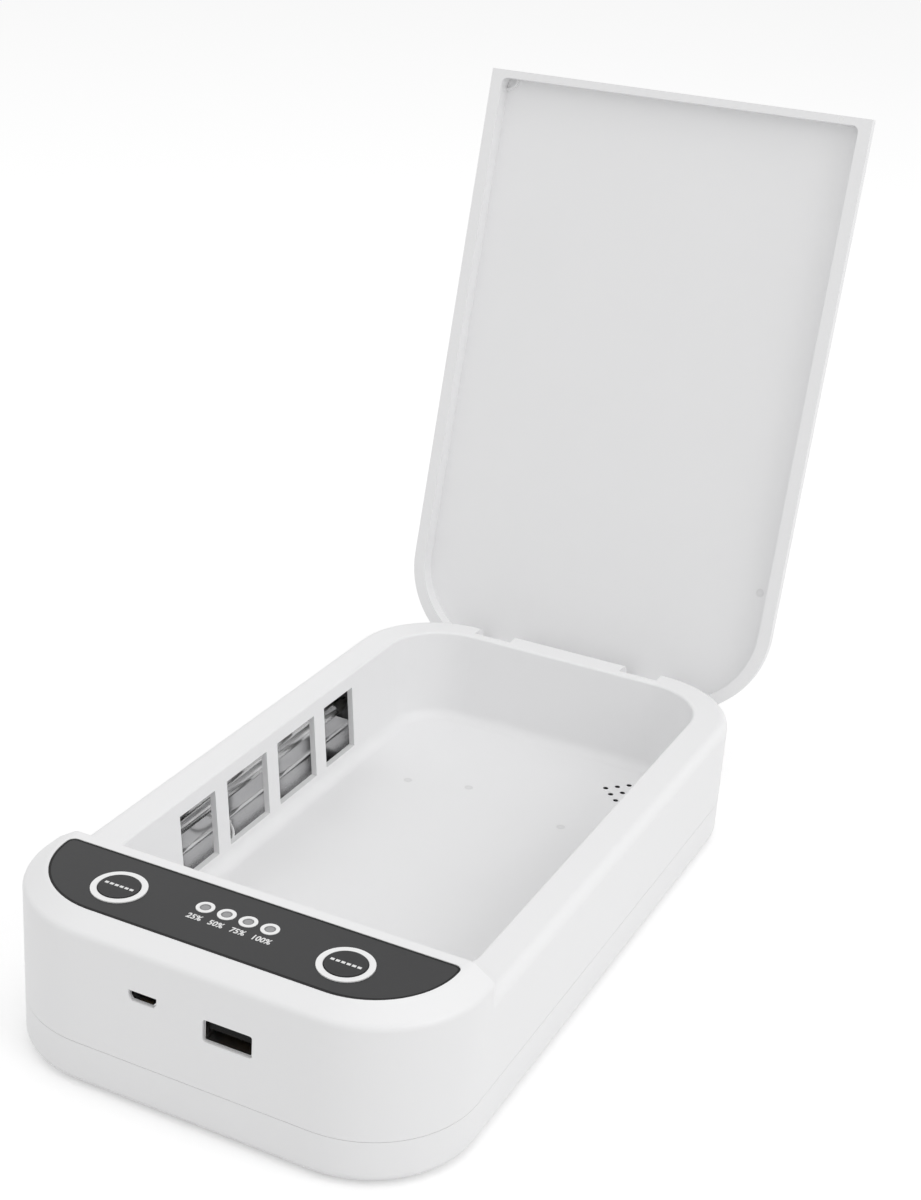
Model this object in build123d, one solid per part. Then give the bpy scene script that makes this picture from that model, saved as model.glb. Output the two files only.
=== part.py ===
"""UV steriliser box for phones: a moulded housing with a hinged lid, two push buttons and two lamps.

Frame: X to the right seen from the front, Y from the front to the back, Z up, millimetres.
The origin is under the middle of the housing, on the plane that the feet stand on.
The lid is drawn closed and then turned about its hinge pins to the open rest position.
"""
import os
from math import atan2, cos, degrees, hypot, radians, sin, tan

from build123d import *

# ---- overall sizes ------------------------------------------------------------------------------
BODY_WIDTH = 124.0
BODY_LENGTH = 224.0
NOSE_HEIGHT = 48.0  # top of the nose, and of the closed lid
RIM_HEIGHT = 39.5  # top of the rim that the lid closes on
CORNER_RADIUS = 29.0  # upright corners of the housing
SHELL_WALL = 2.4
FOOT_HEIGHT = 1.0  # how far the feet stand below the base cover
SEAM_HEIGHT = 13.0  # joint between the base cover and the housing
SEAM_GAP = 0.12
BASE_FLOOR = 2.2
BASE_FILLET = 2.6
TONGUE_WALL = 1.2  # lip of the base cover that locates in the housing's rebated wall
TONGUE_HEIGHT = 2.0
FIT = 0.15  # clearance between pieces that are pushed together by hand
TOUCH_GAP = 0.05  # clearance between a moving piece and what stops it

# ---- nose and control panel ---------------------------------------------------------------------
NOSE_DEPTH = 33.5  # front face to the nose's rear face
BEVEL_WIDTH = 6.0  # sloping edge all round the top of the nose and of the lid
BEVEL_DROP = 3.8
BEVEL_UPPER_ROUND = 4.0
BEVEL_LOWER_ROUND = 2.0
RIM_FILLET = 3.0
PANEL_INSET_FRONT = 5.6
PANEL_INSET_SIDE = 7.0
PANEL_DEPTH = 24.7
PANEL_FRONT_RADIUS = 22.5
PANEL_REAR_RADIUS = 2.0
PANEL_THICKNESS = 0.8
PANEL_SINK = 0.15  # top of the panel below the top of the nose

# ---- chamber ------------------------------------------------------------------------------------
RIM_SIDE_STRIP = 11.0  # side of the housing to the chamber's upper edge
CHAMBER_REAR_STRIP = 9.6  # rear face of the housing to the chamber's rear edge
FRONT_LEDGE = 4.0  # ledge under the lid's free edge, behind the nose
CHAMBER_RADIUS = 19.2
CHAMBER_FRONT_RADIUS = 12.0
CHAMBER_FLOOR = 10.2  # top of the chamber's floor
CHAMBER_TAPER = 5.2  # degrees that the chamber's walls lean in towards the floor
CHAMBER_WALL = 1.8
FLOOR_FILLET = 3.8
RIM_INNER_ROUND = 0.8
WINDOW_BOTTOM = 14.9
WINDOW_HEIGHT = 19.9
WINDOW_ROW_FRONT = 72.2  # front face of the housing to the row of windows
WINDOW_ROW_REAR = 55.8  # rear face of the housing to the row of windows
WINDOW_GAP = 6.05
WINDOW_DIFFERENCE = 3.75  # how much longer the two inner windows are than the outer ones

# ---- aroma holes, cup and pad -------------------------------------------------------------------
AROMA_FROM_SIDE = 18.3  # chamber's side edge to the middle of the holes
AROMA_FROM_REAR = 20.3  # chamber's rear edge to the middle of the holes
AROMA_PITCH = 4.0
AROMA_ROWS = 3
AROMA_HOLE_RADIUS = 0.85
AROMA_CUP_RADIUS = 9.0
AROMA_CUP_WALL = 1.0
AROMA_PAD_THICKNESS = 3.2

# ---- lid and hinge ------------------------------------------------------------------------------
LID_OVERHANG = 0.6  # how far the lid stands out past the housing's sides and back
LID_SEAM_GAP = 0.5  # rim to the lid's lip
LID_NOSE_GAP = 0.4
LID_REAR_RADIUS = 30.6
LID_SIDE_LIP = 3.8
LID_FRONT_LIP = 2.4
LID_RECESS = 5.3
LID_OPEN_ANGLE = 103.0
MAGNET_FROM_SIDE = 9.0
MAGNET_RADIUS = 0.8
MAGNET_LENGTH = 3.0
SENSOR_WIDTH = 4.0
SENSOR_DEPTH = 2.0
SENSOR_HEIGHT = 3.0
HINGE_SPREAD = 25.6  # middle of the housing to the middle of each hinge
HINGE_INSET = 4.6  # rear face of the housing to the hinge axis
HINGE_DROP = 6.4  # rim to the hinge axis
NOTCH_WIDTH = 12.6
NOTCH_STRIP = 2.9  # rim left between the chamber and a notch
ARM_SIDE_GAP = 0.3
BARREL_RADIUS = 2.2
PIN_RADIUS = 1.0
PIN_RUNNING_CLEARANCE = 0.06
CHEEK_WIDTH = 3.2  # block beside a notch that holds one end of a hinge pin
NOTCH_CLEARANCE = 0.3
CHEEK_WALL = 2.6  # material round the pin in a cheek
ARM_ROOT = 0.3  # how far the arms are sunk into the lid's ceiling
LID_RECESS_CORNER = 2.0

# ---- buttons ------------------------------------------------------------------------------------
BUTTON_FROM_END = 23.6  # end of the panel to the middle of a button
BUTTON_FROM_FRONT = 17.1
BUTTON_RADIUS = 5.2
BUTTON_PROUD = 0.3
BUTTON_TRAVEL = 0.5
BUTTON_FLANGE_WIDTH = 0.8  # how far the stop flange stands out past the cap
BUTTON_FLANGE = 1.0
BUTTON_WALL = 1.1
BUTTON_STEM_RADIUS = 1.8
BUTTON_GAP = 0.2  # cap to the bore of its ring
RING_WIDTH = 1.6  # visible ring, from its bore to its edge
RING_SLEEVE = 0.8  # wall of the ring's sleeve
RING_PROUD = 0.1

# ---- indicators ---------------------------------------------------------------------------------
INDICATOR_PITCH = 6.0
INDICATOR_FROM_FRONT = 20.6
INDICATOR_RADIUS = 2.35
INDICATOR_WINDOW_RADIUS = 1.35
INDICATOR_COUNT = 4
LED_HEIGHT = 0.8
LED_GAP = 0.4
LED_SIZE = 2.0
INDICATOR_SLEEVE_RADIUS = 1.9
SHOULDER = 1.2  # thickness of a light pipe's shoulder

# ---- boards and switches ------------------------------------------------------------------------
BOARD_THICKNESS = 1.4
CONTROL_BOARD_TOP = 36.6
CONTROL_BOARD_MARGIN = 4.6  # middle of a button to the board's end
CONTROL_BOARD_DEPTH = 20.0
MAIN_BOARD_TOP = 31.2
MAIN_BOARD_SIDE_GAP = 13.6  # end of the main board to the housing's inside
MAIN_BOARD_REAR_GAP = 2.5  # rear edge of the main board to the nose's rear wall
MAIN_BOARD_INSET = 0.6  # edge of the main board to the housing's inside
CONTROL_BOARD_REAR_GAP = 3.0  # rear edge of the control board to the nose's rear wall
SWITCH_SIZE = 6.0
SWITCH_HEIGHT = 3.5
PLUNGER_RADIUS = 1.7
PLUNGER_HEIGHT = 1.2
PLUNGER_DEPTH = 1.0
POST_RADIUS = 2.6
CONTROL_POST_FROM_BUTTON = 9.9  # middle of a button to the post beside it
MAIN_POST_FROM_END = 4.2  # end of the main board to the posts near it
SCREW_RADIUS = 1.1
SCREW_HEAD_RADIUS = 2.1
SCREW_HEAD = 1.2
BOARD_SCREW_BITE = 4.0
LINK_WIDTH = 10.0  # header that joins the two boards
LINK_DEPTH = 2.5
TRANSFORMER_X = -20.0
TRANSFORMER_WIDTH = 15.0
TRANSFORMER_DEPTH = 11.0
TRANSFORMER_HEIGHT = 9.0
TRANSFORMER_LIMB = 2.6  # thickness of the core's limbs

# ---- sockets ------------------------------------------------------------------------------------
USB_A_X = 10.5
USB_A_WIDTH = 12.5
USB_A_HEIGHT = 5.1
USB_A_SHELL = 0.35
USB_A_DEPTH = 14.0
USB_A_DROP = 1.2  # middle of the socket below the top of the main board
USB_A_TONGUE = 1.8
USB_A_TONGUE_WIDTH = 11.1
USB_A_TONGUE_OFFSET = 0.72  # from the top of the mouth to the tongue
USB_A_BACK = 4.5  # depth of the moulding at the back of the socket
MICRO_X = -12.9
MICRO_WIDTH = 7.0
MICRO_HEIGHT = 1.9
MICRO_SIDE_SLOPE = 0.8  # how much narrower the mouth is at its lower edge, each side
MICRO_SHELL = 0.3
MICRO_DEPTH = 5.6
MICRO_TONGUE = 0.7
MICRO_TONGUE_WIDTH = 4.6
SOCKET_SETBACK = 0.6  # mouth of a socket behind the front face
SOCKET_GAP = 0.15
USB_A_CORNER = 0.4
TONGUE_SETBACK = 0.9
MICRO_BACK = 1.5
MICRO_TONGUE_OFFSET = 0.35  # from the top of the mouth to the tongue

# ---- lamps --------------------------------------------------------------------------------------
LAMP_RADIUS = 1.8
LAMP_END_ROUND = 1.2
LAMP_HEIGHT = 25.5
LAMP_MARGIN = 5.8  # end of the row of windows to the holder's face
HOLDER_LENGTH = 9.0
HOLDER_WIDTH = 6.5
HOLDER_HEIGHT = 12.4
HOLDER_ROUND = 0.8
HOLDER_RIB_DEPTH = 2.2
HOLDER_GRIP = 6.0  # how far a holder reaches over the tube
REFLECTOR_THICKNESS = 0.4
REFLECTOR_BOTTOM = 13.9
REFLECTOR_TOP_GAP = 0.3  # rim's underside to the sheet's upper flange
REFLECTOR_SETBACK = 0.8  # housing's inside to the back of the sheet
REFLECTOR_FLANGE = 8.4
REFLECTOR_BEND = 1.2
REFLECTOR_END_GAP = 0.5
REFLECTOR_TUB_GAP = 0.3  # outside of the chamber's wall to the flanges' edges
REFLECTOR_RIB_SPREAD = 30.0  # middle of the lamp to each rib behind the sheet
LEAD_RADIUS = 0.7
LEAD_BEND = 3.0
LEAD_LOOP = 7.0  # how far the rear lead stands out behind its holder
LEAD_TURN_FROM_NOSE = 8.5  # rear face of the nose to where the leads turn in
LEAD_FROM_BOARD_END = 11.0  # end of the main board to the front lead's joint
LEAD_END_FROM_FRONT = 26.0
LEAD_END_PITCH = 5.0  # from the front lead's joint to the rear lead's

# ---- fasteners and feet -------------------------------------------------------------------------
BASE_BOSS_RADIUS = 3.2
BASE_SCREW_FROM_SIDE = 18.0
BASE_SCREW_FROM_REAR = 43.0
NOSE_SCREW_FROM_SIDE = 10.5
NOSE_SCREW_FROM_FRONT = 24.0
BASE_SCREW_BITE = 4.8
SCREW_TIP_GAP = 0.3
RIB_THICKNESS = 1.2
FOOT_RADIUS = 5.0
FOOT_FROM_SIDE = 18.0
FOOT_FROM_END = 28.0
FOOT_POCKET = 0.6

# ---- worked out from the sizes above ------------------------------------------------------------
FRONT_Y = -BODY_LENGTH / 2
REAR_Y = BODY_LENGTH / 2
SIDE_X = BODY_WIDTH / 2
INSIDE_X = SIDE_X - SHELL_WALL
HOUSING_BOTTOM = SEAM_HEIGHT + SEAM_GAP
TONGUE_TOP = HOUSING_BOTTOM + TONGUE_HEIGHT
BASE_INSIDE = FOOT_HEIGHT + BASE_FLOOR
RIM_CEILING = RIM_HEIGHT - SHELL_WALL
NOSE_REAR_Y = FRONT_Y + NOSE_DEPTH
NOSE_INSIDE_REAR_Y = NOSE_REAR_Y - SHELL_WALL
PANEL_FRONT_Y = FRONT_Y + PANEL_INSET_FRONT
PANEL_REAR_Y = PANEL_FRONT_Y + PANEL_DEPTH
PANEL_HALF_WIDTH = SIDE_X - PANEL_INSET_SIDE
PANEL_TOP = NOSE_HEIGHT - PANEL_SINK
PANEL_SEAT = PANEL_TOP - PANEL_THICKNESS
NOSE_CEILING = PANEL_SEAT - SHELL_WALL
CHAMBER_HALF_WIDTH = SIDE_X - RIM_SIDE_STRIP
CHAMBER_FRONT_Y = NOSE_REAR_Y + FRONT_LEDGE
CHAMBER_REAR_Y = REAR_Y - CHAMBER_REAR_STRIP
CHAMBER_UNDERSIDE = CHAMBER_FLOOR - CHAMBER_WALL
WINDOW_ROW_START = FRONT_Y + WINDOW_ROW_FRONT
WINDOW_ROW_END = REAR_Y - WINDOW_ROW_REAR
WINDOW_PAIR = (WINDOW_ROW_END - WINDOW_ROW_START - 3 * WINDOW_GAP) / 2  # an inner and an outer one
INNER_WINDOW = (WINDOW_PAIR + WINDOW_DIFFERENCE) / 2
OUTER_WINDOW = (WINDOW_PAIR - WINDOW_DIFFERENCE) / 2
AROMA_X = CHAMBER_HALF_WIDTH - AROMA_FROM_SIDE
AROMA_Y = CHAMBER_REAR_Y - AROMA_FROM_REAR
BUTTON_Y = FRONT_Y + BUTTON_FROM_FRONT
BUTTON_SPREAD = PANEL_HALF_WIDTH - BUTTON_FROM_END
RING_BORE = BUTTON_RADIUS + BUTTON_GAP
RING_RADIUS = RING_BORE + RING_WIDTH
RING_SLEEVE_RADIUS = RING_BORE + RING_SLEEVE
INDICATOR_Y = FRONT_Y + INDICATOR_FROM_FRONT
HINGE_Y = REAR_Y - HINGE_INSET
HINGE_Z = RIM_HEIGHT - HINGE_DROP
LID_BOTTOM = RIM_HEIGHT + LID_SEAM_GAP
LID_CEILING = LID_BOTTOM + LID_RECESS
LID_FRONT_Y = NOSE_REAR_Y + LID_NOSE_GAP
LID_REAR_Y = REAR_Y + LID_OVERHANG
LID_SIDE_X = SIDE_X + LID_OVERHANG
MAGNET_X = SIDE_X - MAGNET_FROM_SIDE
NOTCH_FRONT_Y = CHAMBER_REAR_Y + NOTCH_STRIP
ARM_WIDTH = NOTCH_WIDTH - 2 * ARM_SIDE_GAP
ARM_FRONT_Y = NOTCH_FRONT_Y + NOTCH_CLEARANCE
ARM_REAR_Y = LID_REAR_Y - LID_SIDE_LIP + ARM_ROOT
PIN_LENGTH = NOTCH_WIDTH + 2 * CHEEK_WIDTH
CONTROL_BOARD_BOTTOM = CONTROL_BOARD_TOP - BOARD_THICKNESS
CONTROL_BOARD_HALF_WIDTH = BUTTON_SPREAD + CONTROL_BOARD_MARGIN
CONTROL_BOARD_REAR_Y = NOSE_INSIDE_REAR_Y - CONTROL_BOARD_REAR_GAP
CONTROL_POST_X = BUTTON_SPREAD - CONTROL_POST_FROM_BUTTON
MAIN_BOARD_BOTTOM = MAIN_BOARD_TOP - BOARD_THICKNESS
MAIN_BOARD_HALF_WIDTH = INSIDE_X - MAIN_BOARD_SIDE_GAP
MAIN_POST_X = MAIN_BOARD_HALF_WIDTH - MAIN_POST_FROM_END
PLUNGER_TOP = CONTROL_BOARD_TOP + SWITCH_HEIGHT + PLUNGER_HEIGHT
LAMP_X = INSIDE_X - FIT - HOLDER_WIDTH / 2
LAMP_FRONT_Y = WINDOW_ROW_START - LAMP_MARGIN
LAMP_REAR_Y = WINDOW_ROW_END + LAMP_MARGIN
REFLECTOR_X = INSIDE_X - REFLECTOR_SETBACK
REFLECTOR_TOP = RIM_CEILING - REFLECTOR_TOP_GAP
LEAD_TURN_Y = NOSE_REAR_Y + LEAD_TURN_FROM_NOSE
LEAD_END_X = MAIN_BOARD_HALF_WIDTH - LEAD_FROM_BOARD_END
LEAD_END_Y = FRONT_Y + LEAD_END_FROM_FRONT
LEAD_END_HEIGHT = MAIN_BOARD_BOTTOM - LEAD_RADIUS
FOOT_X = SIDE_X - FOOT_FROM_SIDE
FOOT_Y = REAR_Y - FOOT_FROM_END
USB_A_Z = MAIN_BOARD_TOP - USB_A_DROP
MICRO_Z = MAIN_BOARD_TOP + MICRO_SHELL + MICRO_HEIGHT / 2
SOCKET_MOUTH_Y = FRONT_Y + SOCKET_SETBACK
SIDES = {"left": -1, "right": 1}


# ---- helpers ------------------------------------------------------------------------------------
def prism(outline, low, high):
    """Stand an outline of the XY plane up between two heights."""
    return extrude(Pos(0, 0, low) * outline, high - low)


def rod(radius, low, high, x=0.0, y=0.0):
    """Upright cylinder between two heights."""
    return Pos(x, y, low) * Cylinder(radius, high - low, align=(Align.CENTER, Align.CENTER, Align.MIN))


def block(x_low, x_high, y_low, y_high, z_low, z_high):
    """Box between two values on each axis."""
    size = (x_high - x_low, y_high - y_low, z_high - z_low)
    return Pos(x_low, y_low, z_low) * Box(*size, align=(Align.MIN, Align.MIN, Align.MIN))


def rod_along_x(radius, length, x, y, z):
    """Cylinder along X about its middle."""
    return Pos(x, y, z) * Rot(0, 90, 0) * Cylinder(radius, length)


def body_outline(inset=0.0):
    """Plan of the housing, set in by a wall."""
    return RectangleRounded(BODY_WIDTH - 2 * inset, BODY_LENGTH - 2 * inset, CORNER_RADIUS - inset)


def rounded_plan(x_half, y_front, y_rear, front_radius, rear_radius):
    """Rectangle of the XY plane whose front and rear corners have their own radii."""
    middle = (y_front + y_rear) / 2
    plan = Pos(0, middle) * Rectangle(2 * x_half, y_rear - y_front)
    corners = plan.vertices().sort_by(Axis.Y)
    plan = fillet(corners[:2], front_radius)
    corners = plan.vertices().group_by(Axis.Y)[-1]
    return fillet(corners, rear_radius)


def nose_region(rear_y):
    """Everything in front of a plane, as a tall block."""
    return block(-BODY_WIDTH, BODY_WIDTH, 2 * FRONT_Y, rear_y, -NOSE_HEIGHT, 2 * NOSE_HEIGHT)


def edges_at(solid, height):
    """Edges that lie level at one height."""
    return solid.edges().filter_by_position(Axis.Z, height, height)


def bevelled(plan, low, shoulder, top, width):
    """Block whose upper edge slopes in by a width between its shoulder and its top."""
    slope = degrees(atan2(width, top - shoulder))
    return prism(plan, low, shoulder) + extrude(Pos(0, 0, shoulder) * plan, top - shoulder, taper=slope)


def softly_bevelled(plan, low):
    """Block up to the closed height, its bevel rounded off above and below."""
    shoulder = NOSE_HEIGHT - BEVEL_DROP
    form = bevelled(plan, low, shoulder, NOSE_HEIGHT, BEVEL_WIDTH)
    form = fillet(edges_at(form, shoulder), BEVEL_LOWER_ROUND)
    return fillet(edges_at(form, NOSE_HEIGHT), BEVEL_UPPER_ROUND)


def save(solids, node):
    """Write one node's solids to its STEP file."""
    os.makedirs("parts", exist_ok=True)
    pieces = solids if isinstance(solids, list) else [solids]
    shape = pieces[0] if len(pieces) == 1 else Compound(children=pieces)
    export_step(shape, f"parts/{node}.step")


def mirrored(make):
    """Make a piece for the right side and its mirror image for the left."""
    right = make()
    return {"left": mirror(right, Plane.YZ), "right": right}


# ---- upper housing ------------------------------------------------------------------------------
def housing_form():
    """Outer form: the body up to the rim, and the higher nose, with their rounded top edges."""
    body = prism(body_outline(), HOUSING_BOTTOM, RIM_HEIGHT)
    body = fillet(body.faces().sort_by(Axis.Z)[-1].edges(), RIM_FILLET)
    return body + (softly_bevelled(body_outline(), HOUSING_BOTTOM) & nose_region(NOSE_REAR_Y))


def housing_hollow():
    """Space between the outer walls, under the rim and under the nose's higher top."""
    slope = BEVEL_DROP / BEVEL_WIDTH
    shoulder = NOSE_HEIGHT - BEVEL_DROP - SHELL_WALL * (hypot(1, slope) - slope)
    inside = body_outline(SHELL_WALL)
    body = prism(inside, HOUSING_BOTTOM, RIM_CEILING)
    nose = bevelled(inside, HOUSING_BOTTOM, shoulder, NOSE_CEILING, (NOSE_CEILING - shoulder) / slope)
    rebate = prism(body_outline(SHELL_WALL - TONGUE_WALL - FIT), HOUSING_BOTTOM, TONGUE_TOP + FIT)
    return body + (nose & nose_region(NOSE_INSIDE_REAR_Y)) + rebate


def tub(wall, floor):
    """Chamber or its outside: a tapered block from the rim down to a floor."""
    plan = rounded_plan(
        CHAMBER_HALF_WIDTH + wall,
        CHAMBER_FRONT_Y - wall,
        CHAMBER_REAR_Y + wall,
        CHAMBER_FRONT_RADIUS + wall,
        CHAMBER_RADIUS + wall,
    )
    depth = RIM_HEIGHT - floor
    return extrude(Pos(0, 0, RIM_HEIGHT) * plan, depth, dir=(0, 0, -1), taper=CHAMBER_TAPER)


def chamber():
    """Inside of the chamber, rounded where the walls meet the floor."""
    inside = tub(0, CHAMBER_FLOOR)
    return fillet(inside.faces().sort_by(Axis.Z)[0].edges(), FLOOR_FILLET)


def window_spans():
    """Front and rear edge of each window in a long wall of the chamber, from the front."""
    spans = []
    start = WINDOW_ROW_START
    for length in (OUTER_WINDOW, INNER_WINDOW, INNER_WINDOW, OUTER_WINDOW):
        spans.append((start, start + length))
        start += length + WINDOW_GAP
    return spans


def lamp_windows():
    """Cuts through the chamber's long walls in front of the lamps."""
    lean = (RIM_HEIGHT - WINDOW_BOTTOM) * tan(radians(CHAMBER_TAPER))
    inner = CHAMBER_HALF_WIDTH - lean - CHAMBER_WALL / 2
    outer = CHAMBER_HALF_WIDTH + 1.5 * CHAMBER_WALL
    top = WINDOW_BOTTOM + WINDOW_HEIGHT
    cuts = []
    for low, high in window_spans():
        cuts.append(block(inner, outer, low, high, WINDOW_BOTTOM, top))
        cuts.append(block(-outer, -inner, low, high, WINDOW_BOTTOM, top))
    return cuts


def aroma_holes():
    """Square grid of holes through the chamber's floor, turned to stand on a corner."""
    grid = GridLocations(AROMA_PITCH, AROMA_PITCH, AROMA_ROWS, AROMA_ROWS)
    hole = rod(AROMA_HOLE_RADIUS, CHAMBER_UNDERSIDE - 1, CHAMBER_FLOOR + 1)
    return [Pos(AROMA_X, AROMA_Y) * Rot(0, 0, 45) * place * hole for place in grid]


def panel_outline(gap=0.0):
    """Plan of the control panel, let out by a clearance."""
    return rounded_plan(
        PANEL_HALF_WIDTH + gap,
        PANEL_FRONT_Y - gap,
        PANEL_REAR_Y + gap,
        PANEL_FRONT_RADIUS + gap,
        PANEL_REAR_RADIUS + gap,
    )


def button_points():
    return [(side * BUTTON_SPREAD, BUTTON_Y) for side in SIDES.values()]


def indicator_points():
    first = -INDICATOR_PITCH * (INDICATOR_COUNT - 1) / 2
    return [(first + INDICATOR_PITCH * index, INDICATOR_Y) for index in range(INDICATOR_COUNT)]


def panel_cuts():
    """Seat of the panel, and the holes under it for the buttons and the indicators."""
    cuts = [prism(panel_outline(FIT / 2), PANEL_SEAT, NOSE_HEIGHT + 1)]
    low = NOSE_CEILING - 1
    cuts += [rod(RING_SLEEVE_RADIUS, low, PANEL_SEAT + 1, *point) for point in button_points()]
    cuts += [rod(INDICATOR_SLEEVE_RADIUS, low, PANEL_SEAT + 1, *point) for point in indicator_points()]
    return cuts


def socket_cuts():
    """Openings in the front wall round the two sockets."""
    usb = usb_a_section(USB_A_SHELL + SOCKET_GAP)
    micro = micro_usb_section(MICRO_SHELL + SOCKET_GAP)
    start = FRONT_Y - 1
    return [along_y(section, start, FRONT_Y + 1.5 * SHELL_WALL) for section in (usb, micro)]


def hinge_points():
    return [(side * HINGE_SPREAD, HINGE_Y) for side in SIDES.values()]


def notch_bottom():
    """Lowest height in the rear wall's outer face that a hinge arm reaches when the lid is open."""
    back = ARM_REAR_Y - HINGE_Y
    turn = radians(LID_OPEN_ANGLE)
    reach = (HINGE_INSET - back * cos(turn)) / sin(turn)
    drop = back * sin(turn) - reach * cos(turn)
    return HINGE_Z - drop - NOTCH_CLEARANCE


def hinge_blocks():
    """Blocks behind the chamber that hold the ends of the hinge pins."""
    low = HINGE_Z - PIN_RADIUS - CHEEK_WALL
    reach = NOTCH_WIDTH / 2 + CHEEK_WIDTH
    y_low = CHAMBER_REAR_Y + CHAMBER_WALL / 2
    y_high = REAR_Y - SHELL_WALL / 2
    return [block(x - reach, x + reach, y_low, y_high, low, RIM_CEILING + 1) for x, _ in hinge_points()]


def hinge_cuts():
    """Notches for the lid's arms, and bores for the pins."""
    half = NOTCH_WIDTH / 2
    barrel_front = HINGE_Y - BARREL_RADIUS - NOTCH_CLEARANCE
    cheek_low = HINGE_Z - PIN_RADIUS - CHEEK_WALL - 1
    cuts = []
    for x, y in hinge_points():
        cuts.append(block(x - half, x + half, NOTCH_FRONT_Y, REAR_Y + 1, notch_bottom(), RIM_HEIGHT + 1))
        cuts.append(block(x - half, x + half, barrel_front, REAR_Y - SHELL_WALL, cheek_low, RIM_CEILING))
        cuts.append(rod_along_x(PIN_RADIUS, PIN_LENGTH, x, y, HINGE_Z))
    return cuts


def base_screw_points():
    rows = [
        (SIDE_X - BASE_SCREW_FROM_SIDE, REAR_Y - BASE_SCREW_FROM_REAR),
        (SIDE_X - NOSE_SCREW_FROM_SIDE, FRONT_Y + NOSE_SCREW_FROM_FRONT),
    ]
    return [(side * x, y) for x, y in rows for side in SIDES.values()]


def housing_bosses():
    """Bosses that the base cover's screws bite into; those in the nose are braced to the side wall."""
    bosses = []
    for x, y in base_screw_points():
        in_nose = y < NOSE_REAR_Y
        top = NOSE_CEILING + 1 if in_nose else CHAMBER_UNDERSIDE + CHAMBER_WALL / 2
        bosses.append(rod(BASE_BOSS_RADIUS, BASE_INSIDE, top, x, y))
        if in_nose:
            inner, outer = sorted((x, x / abs(x) * (INSIDE_X + SHELL_WALL / 2)))
            web = RIB_THICKNESS / 2
            web_top = NOSE_HEIGHT - BEVEL_DROP - SHELL_WALL / 2
            bosses.append(block(inner, outer, y - web, y + web, TONGUE_TOP + 1, web_top))
    return bosses


def boss_bores():
    tip = BASE_INSIDE + BASE_SCREW_BITE
    return [rod(SCREW_RADIUS, BASE_INSIDE - 1, tip, *point) for point in base_screw_points()]


def control_posts():
    return [(side * CONTROL_POST_X, BUTTON_Y) for side in SIDES.values()]


def main_posts():
    return [(side * MAIN_POST_X, BUTTON_Y) for side in SIDES.values()]


def board_posts():
    """Posts that hang from the nose's top and carry the two boards."""
    top = NOSE_CEILING + SHELL_WALL / 2
    posts = [rod(POST_RADIUS, CONTROL_BOARD_TOP, top, *point) for point in control_posts()]
    return posts + [rod(POST_RADIUS, MAIN_BOARD_TOP, top, *point) for point in main_posts()]


def post_bores():
    bores = []
    for point in control_posts():
        bores.append(rod(SCREW_RADIUS, CONTROL_BOARD_TOP - 1, CONTROL_BOARD_TOP + BOARD_SCREW_BITE, *point))
    for point in main_posts():
        bores.append(rod(SCREW_RADIUS, MAIN_BOARD_TOP - 1, MAIN_BOARD_TOP + BOARD_SCREW_BITE, *point))
    return bores


def holder_ribs():
    """Ribs on the side walls that keep the lamp holders from sliding back and forth."""
    outer = INSIDE_X + SHELL_WALL / 2
    inner = INSIDE_X - HOLDER_RIB_DEPTH
    low = LAMP_HEIGHT - HOLDER_HEIGHT / 2
    high = LAMP_HEIGHT + HOLDER_HEIGHT / 2
    front = LAMP_FRONT_Y - HOLDER_LENGTH - FIT
    rear = LAMP_REAR_Y + HOLDER_LENGTH + FIT
    ribs = []
    for y_low in (front - RIB_THICKNESS, rear):
        ribs.append(block(inner, outer, y_low, y_low + RIB_THICKNESS, low, high))
        ribs.append(block(-outer, -inner, y_low, y_low + RIB_THICKNESS, low, high))
    return ribs


def reflector_ribs():
    """Upright ribs on the side walls that the bright sheets lean on."""
    ribs = []
    for step in (-REFLECTOR_RIB_SPREAD, REFLECTOR_RIB_SPREAD):
        y_low = (LAMP_FRONT_Y + LAMP_REAR_Y - RIB_THICKNESS) / 2 + step
        y_high = y_low + RIB_THICKNESS
        outer = INSIDE_X + SHELL_WALL / 2
        ribs.append(block(REFLECTOR_X, outer, y_low, y_high, TONGUE_TOP + 1, REFLECTOR_TOP))
        ribs.append(block(-outer, -REFLECTOR_X, y_low, y_high, TONGUE_TOP + 1, REFLECTOR_TOP))
    return ribs


def rim_inner_edges(shell):
    """Upper edges of the chamber."""
    reach = CHAMBER_HALF_WIDTH + TOUCH_GAP
    inside = [edge for edge in edges_at(shell, RIM_HEIGHT) if edge.bounding_box().max.X < reach]
    inside = [edge for edge in inside if edge.bounding_box().min.X > -reach]
    return [edge for edge in inside if CHAMBER_FRONT_Y - TOUCH_GAP < edge.center().Y < NOTCH_FRONT_Y]


def upper_housing():
    """The moulded housing: nose, rim, outer walls and the chamber in one piece."""
    shell = housing_form() - housing_hollow()
    shell += tub(CHAMBER_WALL, CHAMBER_UNDERSIDE)
    shell -= chamber()
    shell = fillet(rim_inner_edges(shell), RIM_INNER_ROUND)
    shell += hinge_blocks() + housing_bosses() + board_posts() + holder_ribs() + reflector_ribs()
    shell -= lamp_windows() + aroma_holes() + panel_cuts() + socket_cuts()
    shell -= hinge_cuts() + boss_bores() + post_bores()
    return shell


# ---- base cover and feet ------------------------------------------------------------------------
def foot_points():
    return [(side * FOOT_X, end * FOOT_Y) for side in SIDES.values() for end in (-1, 1)]


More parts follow.
